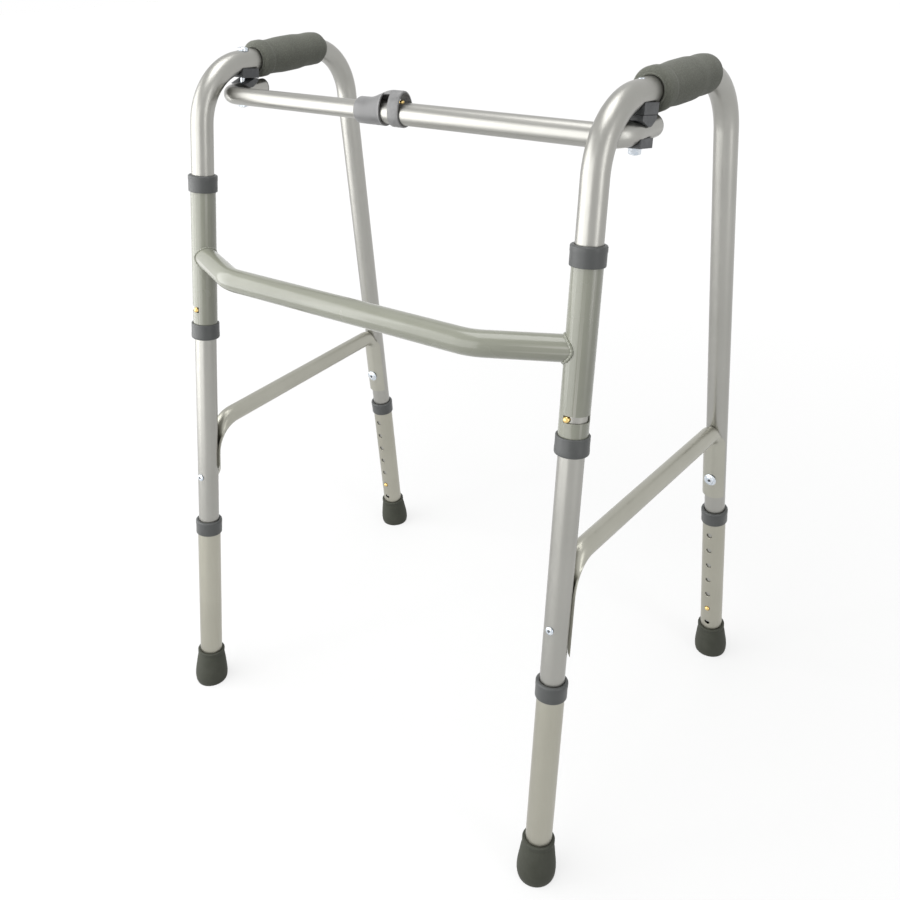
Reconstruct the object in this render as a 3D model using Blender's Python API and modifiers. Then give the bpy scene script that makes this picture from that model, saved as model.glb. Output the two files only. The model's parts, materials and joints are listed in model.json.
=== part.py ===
"""Folding walker with a front brace, two bent side frames and a telescoping crossbar.

Lengths are in metres and +Z is up. The front faces -Y, and a user stands on the +Y side.
Each side frame lies in its own upright plane. Places in that plane are (s, v): s runs
level from the front foot towards the rear foot, and v runs up from the floor.
"""

from math import asin, atan2, cos, pi, radians, sin, sqrt, tan

import bmesh
import bpy
from mathutils import Matrix, Vector

MM = 0.001

# Gaps: between pieces that touch, and round a tube that slides or turns in another.
TOUCH_GAP = 0.3 * MM
SLIDE_GAP = 0.4 * MM
PARTING_GAP = 0.6 * MM

# Stance, measured between the leg axes where they meet the floor.
FRONT_TRACK = 524.0 * MM
REAR_TRACK = 574.8 * MM
WHEELBASE = 440.9 * MM
FRONT_LEAN_BACK = 0.138
FRONT_LEAN_IN = 0.0222
REAR_LEAN_FORWARD = 0.1066

# Side frame: one bent tube. The rail is its level top run.
FRAME_RADIUS = 12.7 * MM
FRAME_WALL = 1.25 * MM
FRAME_FOOT = 60.0 * MM
RAIL_HEIGHT = 799.4 * MM
RAIL_SLOPE = 0.01
FRONT_BEND_RADIUS = 68.0 * MM
REAR_BEND_RADIUS = 71.0 * MM

# Sleeves of the front brace and tubes of the leg extensions share one wall.
OUTER_WALL = 1.2 * MM
SLEEVE_FOOT = 498.0 * MM
SLEEVE_HEAD = 692.8 * MM
BRACE_RADIUS = 12.8 * MM
BRACE_WALL = 1.5 * MM
BRACE_HEIGHT = 592.8 * MM
BRACE_BULGE = 41.2 * MM
BRACE_STRAIGHT = 318.0 * MM
BRACE_BEND_RADIUS = 60.0 * MM

# Plastic bush: a lip round the inner tube and a skirt round the outer one.
BUSH_HEIGHT = 19.0 * MM
BUSH_LIP = 6.4 * MM
BUSH_RADIUS = 16.6 * MM
BUSH_ROUND = 1.6 * MM

# Leg extension and rubber foot, heights along the leg from the floor.
EXTENSION_FOOT = 8.0 * MM
EXTENSION_HEAD_BUSH = 230.5 * MM
LEG_BUTTON_HEIGHT = 85.5 * MM
HOLE_PITCH = 25.4 * MM
HOLES_ABOVE = 5
HOLES_BELOW = 1
FOOT_RADIUS = 21.4 * MM
FOOT_WIDEST = 10.0 * MM
FOOT_NECK_RADIUS = 17.0 * MM
FOOT_HEIGHT = 48.0 * MM
FOOT_SOLE_RADIUS = 19.0 * MM
FOOT_RIM = 0.7 * MM

# Snap buttons and the leaf springs behind them.
BUTTON_RADIUS = 3.2 * MM
BUTTON_PROUD = 2.6 * MM
BUTTON_FLANGE_RADIUS = 4.0 * MM
BUTTON_FLANGE = 1.0 * MM
BUTTON_FLANGE_DEPTH = 2.5 * MM
SPRING_THICKNESS = 0.6 * MM
SPRING_WIDTH = 6.0 * MM
SPRING_LENGTH = 42.0 * MM
SLEEVE_BUTTON_HEIGHT = 535.0 * MM
SLEEVE_SLOT_TURN = 96.0

# Side brace: a round tube whose ends are pressed into saddles on the legs.
SIDE_BRACE_RADIUS = 10.65 * MM
SIDE_BRACE_HEIGHT = 375.7 * MM
SIDE_BRACE_SLOPE = -0.0136
SIDE_BRACE_FRONT_BEND = 42.0 * MM
SIDE_BRACE_REAR_BEND = 20.0 * MM
SADDLE_THICKNESS = 2.6 * MM
SADDLE_WRAP = 66.0
SADDLE_CLEARANCE = 1.6 * MM
SADDLE_TRIM_RISE = 53.0 * MM
FRONT_RIVET_HEIGHT = 312.8 * MM
REAR_BOLT_HEIGHT = 304.2 * MM
FASTENER_RADIUS = 2.5 * MM
RIVET_HEAD_RADIUS = 4.4 * MM
BOLT_HEAD_RADIUS = 7.8 * MM

# Foam grip, lengths along the bent rail.
GRIP_START = 194.0 * MM
GRIP_LENGTH = 114.0 * MM
GRIP_LIP_RADIUS = 20.6 * MM
GRIP_NECK_RADIUS = 19.7 * MM
GRIP_PALM_RADIUS = 20.3 * MM

# Crossbar: the right half is the outer tube and the left half slides in it.
CROSSBAR_OUTER_RADIUS = 11.1 * MM
CROSSBAR_WALL = 1.2 * MM
CROSSBAR_SET_FORWARD = 30.6 * MM
CROSSBAR_ELBOW_RADIUS = 25.0 * MM
CROSSBAR_LEG_PAST_BOLT = 31.5 * MM
CROSSBAR_INNER_TIP = 80.0 * MM
CROSSBAR_OUTER_TIP = -35.4 * MM
PIVOT_S = 175.0 * MM
PIVOT_DROP = 32.0 * MM
PIVOT_BOLT_RADIUS = 3.0 * MM
PIVOT_HEAD_RADIUS = 6.4 * MM
PIVOT_HEAD = 2.6 * MM
PARTING_DROP = 17.0 * MM
UPPER_SADDLE_RISE = 10.3 * MM
SADDLE_LENGTH = 26.0 * MM
UPPER_SADDLE_WIDTH = 25.0 * MM
MID_SADDLE_WIDTH = 23.4 * MM
OPEN_SADDLE_SLOPE = 26.0
LOWER_SADDLE_WALL = 2.4 * MM
NUT_ACROSS_FLATS = 10.0 * MM
NUT_HEIGHT = 5.6 * MM
PLUG_RIM = 1.6 * MM
PLUG_DEPTH = 9.0 * MM

# Release collar on the outer tube's end, stations along X from the middle of the walker.
COLLAR_START = -42.7 * MM
COLLAR_HIP = -31.0 * MM
COLLAR_WAIST = -20.0 * MM
COLLAR_BODY_END = -9.0 * MM
COLLAR_RING_START = 2.1 * MM
COLLAR_RING_END = 15.0 * MM
COLLAR_WALL = 2.0 * MM
COLLAR_SPINE_WIDTH = 7.0 * MM
COLLAR_RING_RISE = 9.0 * MM
RELEASE_BUTTON_X = 11.0 * MM
RELEASE_BUTTON_RADIUS = 2.8 * MM

# Facets round a tube, round a bush or foot, and round a small pin.
# Shapes: shares of a size, and heights or depths in metres.
THROUGH = 30.0 * MM
AXIS_LENGTH = 50.0 * MM
MERGE = 1e-6
BUSH_CHAMFER = 0.3
BUTTON_DOME = ((1.0, 0.5), (0.8, 0.2), (0.42, 0.04), (0.0, 0.0))
SPRING_SHAPE = ((0.0, -0.2), (0.0, 0.2), (0.7, 0.9), (0.9, 1.0), (1.0, 0.88), (1.0, -0.12))
RIVET_TAIL = ((0.0, 1.5 * MM), (0.75, 1.4 * MM), (0.92, 0.7 * MM), (0.92, 0.0))
RIVET_DOME = ((1.0, 0.0), (0.95, 0.8 * MM), (0.6, 1.5 * MM), (0.0, 1.6 * MM))
RIVET_SEAT = 0.8
FLANGE_BOLT = ((1.0, 0.0), (1.0, 0.9 * MM), (0.62, 1.5 * MM), (0.55, 2.6 * MM), (0.0, 2.8 * MM))
GRIP_SHAPE = (
    (0.0, GRIP_LIP_RADIUS - 3 * MM),
    (0.02, GRIP_LIP_RADIUS - 1 * MM),
    (0.055, GRIP_LIP_RADIUS),
    (0.1, GRIP_LIP_RADIUS),
    (0.14, GRIP_NECK_RADIUS),
    (0.22, GRIP_NECK_RADIUS),
    (0.4, GRIP_PALM_RADIUS),
    (0.6, GRIP_PALM_RADIUS),
    (0.76, GRIP_NECK_RADIUS - 0.3 * MM),
    (0.84, GRIP_NECK_RADIUS - 0.8 * MM),
    (0.92, GRIP_NECK_RADIUS - 0.8 * MM),
    (0.96, GRIP_NECK_RADIUS - 1.4 * MM),
    (0.985, GRIP_NECK_RADIUS - 2.6 * MM),
    (1.0, GRIP_NECK_RADIUS - 4.2 * MM),
)
SADDLE_INSET = 0.52
FRONT_PRESS_END = 0.85
REAR_PRESS_END = 0.8
SEAT_OVERRUN = 1.3
EAR_RISE = 4.5 * MM
MID_SADDLE_SHAPE = (
    ("top", -1.0, 0.0),
    ("top", 1.0, 0.0),
    ("top", 1.0, -3.0 * MM),
    ("ear", 0.42, 1.0 * MM),
    ("ear", 0.26, 0.0),
    ("ear", -0.1, 0.0),
    ("ear", -0.26, 1.0 * MM),
    ("top", -1.0, -4.5 * MM),
)
OPEN_SADDLE_START = 0.55
LOWER_SADDLE_FRONT = 0.85
LOWER_SADDLE_REAR = 0.9
LOWER_SADDLE_GRIP = 0.45
LOWER_SADDLE_INSET = 1.0 * MM
BOLT_TIP = 0.8 * MM
HEAD_DOME = ((1.0, -1.2 * MM), (0.8, 0.1 * MM), (0.45, 0.6 * MM), (0.0, 0.7 * MM))
RELEASE_DOME = ((1.0, 1.0 * MM), (0.75, 2.0 * MM), (0.0, 2.4 * MM))
PLUG_EDGE = ((1.0, 0.6), (0.85, 1.0), (0.0, 1.0))
COLLAR_CHAMFER = 1.0 * MM
COLLAR_LEAD = 1.4 * MM
COLLAR_RISE = ((COLLAR_WAIST, 0.43), (COLLAR_BODY_END, 0.86), (COLLAR_RING_START, 1.0))
COLLAR_HOLLOW = ((COLLAR_HIP, 0.0), (COLLAR_BODY_END, 0.8), (COLLAR_RING_START, 0.97))
COLLAR_SLOT_LEVEL = 0.2
OVERRUN = 1.0 * MM
SOLE_SINK = 0.17
FOOT_SHOULDER = 0.6 * MM
FOOT_PROFILE = (
    (FOOT_RADIUS - 0.9 * MM, 1.0 * MM),
    (FOOT_RADIUS - 0.2 * MM, 5.0 * MM),
    (FOOT_RADIUS, FOOT_WIDEST),
    ((FOOT_RADIUS + FOOT_NECK_RADIUS) / 2 + FOOT_SHOULDER, FOOT_HEIGHT * 0.52),
    (FOOT_NECK_RADIUS, FOOT_HEIGHT - 5 * MM),
    (FOOT_NECK_RADIUS + FOOT_RIM, FOOT_HEIGHT - 4 * MM),
    (FOOT_NECK_RADIUS + FOOT_RIM, FOOT_HEIGHT - 1 * MM),
    (FOOT_NECK_RADIUS + FOOT_RIM - 1 * MM, FOOT_HEIGHT),
)

TUBE_SIDES = 16
TURNED_SIDES = 20
PIN_SIDES = 10
BEND_STEP = radians(12)
BRACE_BEND_STEP = radians(6)
SHARP_ANGLE = radians(32)
SLOT_STEPS = 12

OUTER_BORE = FRAME_RADIUS + SLIDE_GAP
OUTER_RADIUS = OUTER_BORE + OUTER_WALL
CROSSBAR_INNER_RADIUS = CROSSBAR_OUTER_RADIUS - CROSSBAR_WALL - SLIDE_GAP
BUTTON_HOLE = BUTTON_RADIUS + TOUCH_GAP
RAISED_BUSH = EXTENSION_HEAD_BUSH + BUSH_HEIGHT + HOLES_BELOW * HOLE_PITCH
SADDLE_FOOT = RAISED_BUSH + SADDLE_CLEARANCE
UP = Vector((0, 0, 1))
SIDES = {"left": -1, "right": 1}

for leftover in list(bpy.data.objects):
    bpy.data.objects.remove(leftover, do_unlink=True)
walker = bpy.data.collections.new("folding_walker")
cutters = bpy.data.collections.new("cutters")
bpy.context.scene.collection.children.link(walker)
bpy.context.scene.collection.children.link(cutters)


def material(name, color, roughness, metallic=0.0):
    made = bpy.data.materials.new(name)
    made.use_nodes = True
    shader = made.node_tree.nodes["Principled BSDF"]
    shader.inputs["Base Color"].default_value = (*color, 1)
    shader.inputs["Roughness"].default_value = roughness
    shader.inputs["Metallic"].default_value = metallic
    return made


ALUMINIUM = material("satin_aluminium", (0.72, 0.72, 0.70), 0.34, 1.0)
CHAMPAGNE = material("champagne_aluminium", (0.66, 0.63, 0.55), 0.36, 1.0)
ENAMEL = material("grey_enamel", (0.29, 0.31, 0.26), 0.28)
BUSH_PLASTIC = material("dark_grey_plastic", (0.055, 0.06, 0.06), 0.42)
COLLAR_PLASTIC = material("mid_grey_plastic", (0.29, 0.29, 0.30), 0.4)
RUBBER = material("grey_rubber", (0.075, 0.078, 0.062), 0.8)
FOAM = material("grey_foam", (0.19, 0.195, 0.165), 0.9)
ZINC = material("zinc_steel", (0.68, 0.71, 0.73), 0.25, 1.0)
BRASS = material("brass", (0.72, 0.52, 0.22), 0.28, 1.0)
SPRING_STEEL = material("spring_steel", (0.42, 0.43, 0.45), 0.35, 1.0)


def keep(obj, parent, colour):
    """Puts a finished piece in the walker, under its axis, with its material."""
    obj.data.materials.clear()
    obj.data.materials.append(colour)
    walker.objects.link(obj)
    if parent is not None:
        obj.parent = parent
        obj.matrix_parent_inverse = parent.matrix_world.inverted()
    obj.data.shade_smooth()
    obj.data.set_sharp_from_angle(angle=SHARP_ANGLE)
    return obj


def cutter(obj):
    obj.hide_render = True
    obj.display_type = "WIRE"
    cutters.objects.link(obj)
    return obj


def boolean(obj, tool, operation="DIFFERENCE"):
    change = obj.modifiers.new(tool.name, "BOOLEAN")
    change.operation = operation
    change.solver = "EXACT"
    change.object = tool


def mesh_object(name, shape, matrix):
    """An object from a bmesh, its faces turned outwards."""
    bmesh.ops.remove_doubles(shape, verts=shape.verts, dist=1e-6)
    bmesh.ops.recalc_face_normals(shape, faces=shape.faces)
    mesh = bpy.data.meshes.new(name)
    shape.to_mesh(mesh)
    shape.free()
    obj = bpy.data.objects.new(name, mesh)
    obj.matrix_world = matrix
    return obj


def baked(source, name, matrix):
    """The mesh that an object's modifiers or curve settings make, as a new object."""
    bpy.context.scene.collection.objects.link(source)
    bpy.context.view_layer.update()
    graph = bpy.context.evaluated_depsgraph_get()
    made = bpy.data.meshes.new_from_object(source.evaluated_get(graph))
    bpy.data.objects.remove(source, do_unlink=True)
    shape = bmesh.new()
    shape.from_mesh(made)
    bpy.data.meshes.remove(made)
    return mesh_object(name, shape, matrix)


def turned(name, profile, matrix, sides=TURNED_SIDES, closed=False):
    """A profile of (radius, height) points turned about the local Z axis.

    It is a closed ring section, or a line that starts and ends on the axis.
    """
    outline = bpy.data.meshes.new(name)
    points = [(radius, 0, height) for radius, height in profile]
    edges = [(k, k + 1) for k in range(len(points) - 1)]
    if closed:
        edges.append((len(points) - 1, 0))
    outline.from_pydata(points, edges, [])
    source = bpy.data.objects.new(name, outline)
    screw = source.modifiers.new("turn", "SCREW")
    screw.axis = "Z"
    screw.angle = 2 * pi
    screw.steps = sides
    screw.render_steps = sides
    screw.use_merge_vertices = True
    screw.merge_threshold = MERGE
    return baked(source, name, matrix)


def rod(name, radius, bottom, top, matrix, sides=PIN_SIDES):
    shape = bmesh.new()
    middle = Matrix.Translation((0, 0, (bottom + top) / 2))
    bmesh.ops.create_cone(
        shape,
        cap_ends=True,
        segments=sides,
        radius1=radius,
        radius2=radius,
        depth=top - bottom,
        matrix=middle,
    )
    return mesh_object(name, shape, matrix)


def block(name, low, high, matrix):
    shape = bmesh.new()
    low, high = Vector(low), Vector(high)
    size = Matrix.Diagonal((*(high - low), 1))
    bmesh.ops.create_cube(shape, size=1, matrix=Matrix.Translation((low + high) / 2) @ size)
    return mesh_object(name, shape, matrix)


def sweep(name, points, radius, matrix, sides=TUBE_SIDES, radii=None, caps=True):
    """A round bar along a path, or its open skin."""
    curve = bpy.data.curves.new(name, "CURVE")
    curve.dimensions = "3D"
    curve.bevel_depth = radius
    curve.bevel_resolution = sides // 2 - 2
    curve.use_fill_caps = caps
    spline = curve.splines.new("POLY")
    spline.points.add(len(points) - 1)
    for k, point in enumerate(points):
        spline.points[k].co = (*point, 1)
        spline.points[k].radius = radii[k] / radius if radii else 1.0
    return baked(bpy.data.objects.new(name, curve), name, matrix)


def tube(name, points, radius, wall, matrix, sides=TUBE_SIDES):
    """A hollow tube along a path, open at both ends."""
    obj = sweep(name, points, radius, matrix, sides, caps=False)
    shell = obj.modifiers.new("wall", "SOLIDIFY")
    shell.thickness = wall
    shell.offset = -1
    shell.use_even_offset = True
    return obj


def flat(name, outline, thickness, matrix):
    """A flat outline in the local XY plane, as thick as given about it."""
    curve = bpy.data.curves.new(name, "CURVE")
    curve.dimensions = "2D"
    curve.fill_mode = "BOTH"
    curve.extrude = thickness / 2
    spline = curve.splines.new("POLY")
    spline.points.add(len(outline) - 1)
    for k, (x, y) in enumerate(outline):
        spline.points[k].co = (x, y, 0, 1)
    spline.use_cyclic_u = True
    return baked(bpy.data.objects.new(name, curve), name, matrix)


def loft(name, sections, matrix):
    """A solid through closed sections of as many points each."""
    shape = bmesh.new()
    rings = [[shape.verts.new(point) for point in section] for section in sections]
    count = len(rings[0])
    for first, second in zip(rings, rings[1:]):
        for k in range(count):
            following = (k + 1) % count
            shape.faces.new((first[k], first[following], second[following], second[k]))
    shape.faces.new(rings[0])
    shape.faces.new(rings[-1])
    return mesh_object(name, shape, matrix)


def axes(origin, x_axis, y_axis, z_axis):
    columns = Matrix((x_axis, y_axis, z_axis)).transposed()
    return Matrix.Translation(origin) @ columns.to_4x4()


def front_direction(side):
    return Vector((-side * FRONT_LEAN_IN, FRONT_LEAN_BACK, 1)).normalized()


def foot_reach(direction):
    """How far a foot reaches along Y from where its leg axis meets the floor."""
    return FOOT_RADIUS * sqrt(1 - direction.y**2)


def side_plane(side, front_y):
    """The side frame's plane: local X is s, local Y is v, and local Z points to +X."""
    front = Vector((side * FRONT_TRACK / 2, front_y, 0))
    rear = Vector((side * REAR_TRACK / 2, front_y + WHEELBASE, 0))
    level = (rear - front).normalized()
    up = front_direction(side)
    up = (up - up.dot(level) * level).normalized()
    return axes(front, level, up, level.cross(up))


def rear_direction(side):
    plane = side_plane(side, 0).to_3x3()
    return (plane @ Vector((-REAR_LEAN_FORWARD, 1, 0))).normalized()


def front_line():
    """The front foot's place along Y that centres the feet on the origin."""
    front, rear = front_direction(1), rear_direction(1)
    widest = FOOT_WIDEST * (front.y + rear.y)
    return -(WHEELBASE + widest + foot_reach(rear) - foot_reach(front)) / 2


FRONT_Y = front_line()
PLANES = {name: side_plane(side, FRONT_Y) for name, side in SIDES.items()}
BASE = (PLANES["right"].inverted() @ Vector((REAR_TRACK / 2, FRONT_Y + WHEELBASE, 0))).x


def leg_frame(name, leg):
    """Local Z runs up the leg's axis, local Y rearwards in the side plane, X to +X."""
    plane = PLANES[name]
    side = SIDES[name]
    out = plane.to_3x3() @ UP
    if leg == "front":
        foot, along = plane.translation, front_direction(side)
    else:
        foot, along = plane @ Vector((BASE, 0, 0)), rear_direction(side)
    return axes(foot, out, along.cross(out), along)


LEGS = {(name, leg): leg_frame(name, leg) for name in SIDES for leg in ("front", "rear")}


def radial(frame, height, turn):
    """A frame on a leg's axis whose local Z points outwards. Turn 0 faces the front."""
    out = Vector((sin(turn), -cos(turn), 0))
    return frame @ axes((0, 0, height), UP, out.cross(UP), out)


def empty(name, matrix):
    made = bpy.data.objects.new(name, None)
    made.empty_display_size = AXIS_LENGTH
    walker.objects.link(made)
    made.matrix_world = matrix
    bpy.context.view_layer.update()
    return made


def bend(corner, arriving, leaving, radius, step=BEND_STEP):
    """Points of a bend at a corner. Both directions point along the path."""
    cross = arriving.x * leaving.y - arriving.y * leaving.x
    turn = atan2(cross, arriving.dot(leaving))
    start = corner - arriving * radius * tan(abs(turn) / 2)
    inwards = Vector((-arriving.y, arriving.x)) * (1 if turn > 0 else -1)
    centre = start + inwards * radius
    spoke = start - centre
    steps = max(2, round(abs(turn) / step))
    return [centre + Matrix.Rotation(turn * k / steps, 2) @ spoke for k in range(steps + 1)]


def lifted(points):
    return [(x, y, 0) for x, y in points]


def meet(point, along, other, across):
    """Where two lines of the side plane cross."""
    det = along.x * across.y - along.y * across.x
    gap = other - point
    return point + along * (gap.x * across.y - gap.y * across.x) / det


def plane_direction(leg):
    local = PLANES["right"].to_3x3().inverted() @ LEGS["right", leg].to_3x3() @ UP
    return Vector((local.x, local.y)).normalized()


FRONT_UP = plane_direction("front")
REAR_UP = plane_direction("rear")
REAR_BASE = Vector((BASE, 0))
RAIL = Vector((1, RAIL_SLOPE)).normalized()
FRONT_CORNER = FRONT_UP * RAIL_HEIGHT / FRONT_UP.y
REAR_CORNER = meet(FRONT_CORNER, RAIL, REAR_BASE, REAR_UP)
FRONT_ARC = bend(FRONT_CORNER, FRONT_UP, RAIL, FRONT_BEND_RADIUS)
REAR_ARC = bend(REAR_CORNER, RAIL, -REAR_UP, REAR_BEND_RADIUS)


def on_rail(s):
    return FRONT_CORNER + RAIL * (s - FRONT_CORNER.x) / RAIL.x


def rail_walk(start, length, fractions):
    """Points of the rail and its rear bend at fractions of a length from a start."""
    line = [on_rail(start)] + REAR_ARC + [REAR_ARC[-1] - REAR_UP * length]
    points = []
    for share in fractions:
        left = length * share
        for first, second in zip(line, line[1:]):
            step = (second - first).length
            if left <= step:
                points.append(first.lerp(second, left / step))
                break
            left -= step
    return points


def pivot_frame(name):
    """The crossbar pivot: its origin is on the rail's centre line and Z runs up the bolt."""
    local = on_rail(PIVOT_S)
    origin = PLANES[name] @ Vector((local.x, local.y, 0))
    frame = LEGS[name, "front"].copy()
    frame.translation = origin
    return frame


PIVOTS = {name: pivot_frame(name) for name in SIDES}
PIVOT_POINT = PIVOTS["right"] @ Vector((0, 0, -PIVOT_DROP))
CROSSBAR = Matrix.Translation((0, PIVOT_POINT.y - CROSSBAR_SET_FORWARD, PIVOT_POINT.z))
CROSSBAR_RADII = {"left": CROSSBAR_INNER_RADIUS, "right": CROSSBAR_OUTER_RADIUS}
LEG_SPAN = CROSSBAR_SET_FORWARD + CROSSBAR_LEG_PAST_BOLT


def tube_bore(radius, gap=TOUCH_GAP):
    """A cutter radius whose flats, not its corners, clear a round bar."""
    return (radius + gap) / cos(pi / TUBE_SIDES)


def front_brace():
    """The root: two welded sleeves, the bent bar between them and four bushes."""
    ends = {}
    for name in SIDES:
        frame = LEGS[name, "front"]
        along = frame.to_3x3() @ UP
        ends[name] = frame.translation + along * BRACE_HEIGHT / along.z
    reach = ends["right"].x
    back = ends["right"].y
    middle = BRACE_STRAIGHT / 2
    corners = [Vector((-middle, -BRACE_BULGE)), Vector((middle, -BRACE_BULGE))]
    left, right = Vector((-reach, 0)), Vector((reach, 0))
    across = Vector((1, 0))
    first = (corners[0] - left).normalized()
    last = (right - corners[1]).normalized()
    path = [left]
    path += bend(corners[0], first, across, BRACE_BEND_RADIUS, BRACE_BEND_STEP)
    path += bend(corners[1], across, last, BRACE_BEND_RADIUS, BRACE_BEND_STEP)
    path.append(right)
    place = Matrix.Translation((0, back, BRACE_HEIGHT))
    bar = tube("brace_bar", lifted(path), BRACE_RADIUS, BRACE_WALL, place)
    for name, side in SIDES.items():
        frame = LEGS[name, "front"]
        cope = rod(
            f"{name}_cope",
            tube_bore(OUTER_RADIUS),
            SLEEVE_FOOT,
            SLEEVE_HEAD,
            frame,
            TUBE_SIDES,
        )
        boolean(bar, cutter(cope))
        low = SLEEVE_FOOT + BUSH_LIP + TOUCH_GAP
        high = SLEEVE_HEAD - BUSH_LIP - TOUCH_GAP
        section = [(OUTER_BORE, low), (OUTER_RADIUS, low)]
        section += [(OUTER_RADIUS, high), (OUTER_BORE, high)]
        sleeve = turned(f"{name}_brace_sleeve", section, frame, TUBE_SIDES, closed=True)
        slot_radius = (OUTER_BORE + OUTER_RADIUS) / 2
        over = asin(BUTTON_HOLE / slot_radius)
        turn = radians(SLEEVE_SLOT_TURN)
        arc = []
        for k in range(SLOT_STEPS + 1):
            angle = -over + (turn + 2 * over) * k / SLOT_STEPS
            arc.append((side * sin(angle) * slot_radius, -cos(angle) * slot_radius, 0))
        spot = frame @ Matrix.Translation((0, 0, SLEEVE_BUTTON_HEIGHT))
        slot = sweep(f"{name}_slot", arc, BUTTON_HOLE / cos(pi / PIN_SIDES), spot, PIN_SIDES)
        boolean(sleeve, cutter(slot))
        keep(sleeve, None, ENAMEL)
        bush(f"{name}_sleeve_top_bush", frame, SLEEVE_HEAD, -1, None)
        bush(f"{name}_sleeve_bottom_bush", frame, SLEEVE_FOOT, 1, None)
    keep(bar, None, ENAMEL)


def bush(name, frame, lip_end, upwards, parent):
    """A bush whose lip ends at a height and whose skirt runs up or down from it."""
    bore = OUTER_BORE
    skirt_bore = OUTER_RADIUS + TOUCH_GAP
    section = [
        (bore, 0),
        (BUSH_RADIUS - BUSH_ROUND, 0),
        (BUSH_RADIUS - BUSH_ROUND * BUSH_CHAMFER, BUSH_ROUND * BUSH_CHAMFER),
        (BUSH_RADIUS, BUSH_ROUND),
        (BUSH_RADIUS, BUSH_HEIGHT - BUSH_ROUND / 2),
        (BUSH_RADIUS - BUSH_ROUND / 2, BUSH_HEIGHT),
        (skirt_bore, BUSH_HEIGHT),
        (skirt_bore, BUSH_LIP),
        (bore, BUSH_LIP),
    ]
    section = [(radius, lip_end + upwards * height) for radius, height in section]
    piece = turned(name, section, frame, TURNED_SIDES, closed=True)
    return keep(piece, parent, BUSH_PLASTIC)


def snap_button(name, frame, height, turn, parent):
    """A domed button on the frame tube, its flange inside the tube's wall."""
    inside = FRAME_RADIUS - FRAME_WALL - BUTTON_FLANGE_DEPTH
    top = OUTER_RADIUS + BUTTON_PROUD
    profile = [
        (0, inside),
        (BUTTON_FLANGE_RADIUS, inside),
        (BUTTON_FLANGE_RADIUS, inside + BUTTON_FLANGE),
        (BUTTON_RADIUS, inside + BUTTON_FLANGE),
    ]
    profile += [(BUTTON_RADIUS * wide, top - BUTTON_RADIUS * drop) for wide, drop in BUTTON_DOME]
    return keep(turned(name, profile, radial(frame, height, turn), PIN_SIDES), parent, BRASS)


def leaf_spring(name, place, near, far, parent):
    """A V of flat strip: one leaf behind the button, the other on the far wall."""
    line = []
    for share, height in SPRING_SHAPE:
        line.append(Vector((near + (far - near) * share, height * SPRING_LENGTH)))
    left, right = [], []
    for k, point in enumerate(line):
        before = line[max(k - 1, 0)]
        after = line[min(k + 1, len(line) - 1)]
        along = (after - before).normalized()
        across = Vector((-along.y, along.x)) * SPRING_THICKNESS / 2
        left.append(point + across)
        right.append(point - across)
    outline = [(p.x, p.y) for p in left + right[::-1]]
    return keep(flat(name, outline, SPRING_WIDTH, place), parent, SPRING_STEEL)


def spring_in_leg(name, frame, height, rearwards, parent):
    """A leaf spring in the frame tube, its working leaf on the button's side."""
    inner = FRAME_RADIUS - FRAME_WALL
    near = inner - BUTTON_FLANGE_DEPTH - TOUCH_GAP - SPRING_THICKNESS / 2
    far = -(sqrt(inner**2 - (SPRING_WIDTH / 2) ** 2) - TOUCH_GAP - SPRING_THICKNESS / 2)
    toward = 1 if rearwards else -1
    place = frame @ axes((0, 0, height), (0, toward, 0), UP, (toward, 0, 0))
    leaf_spring(name, place, near, far, parent)


def drill(obj, name, frame, height, turn, radius, start, end):
    """A radial hole from one distance off a leg's axis to another."""
    hole = rod(name, radius, start, end, radial(frame, height, turn))
    boolean(obj, cutter(hole))


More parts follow.
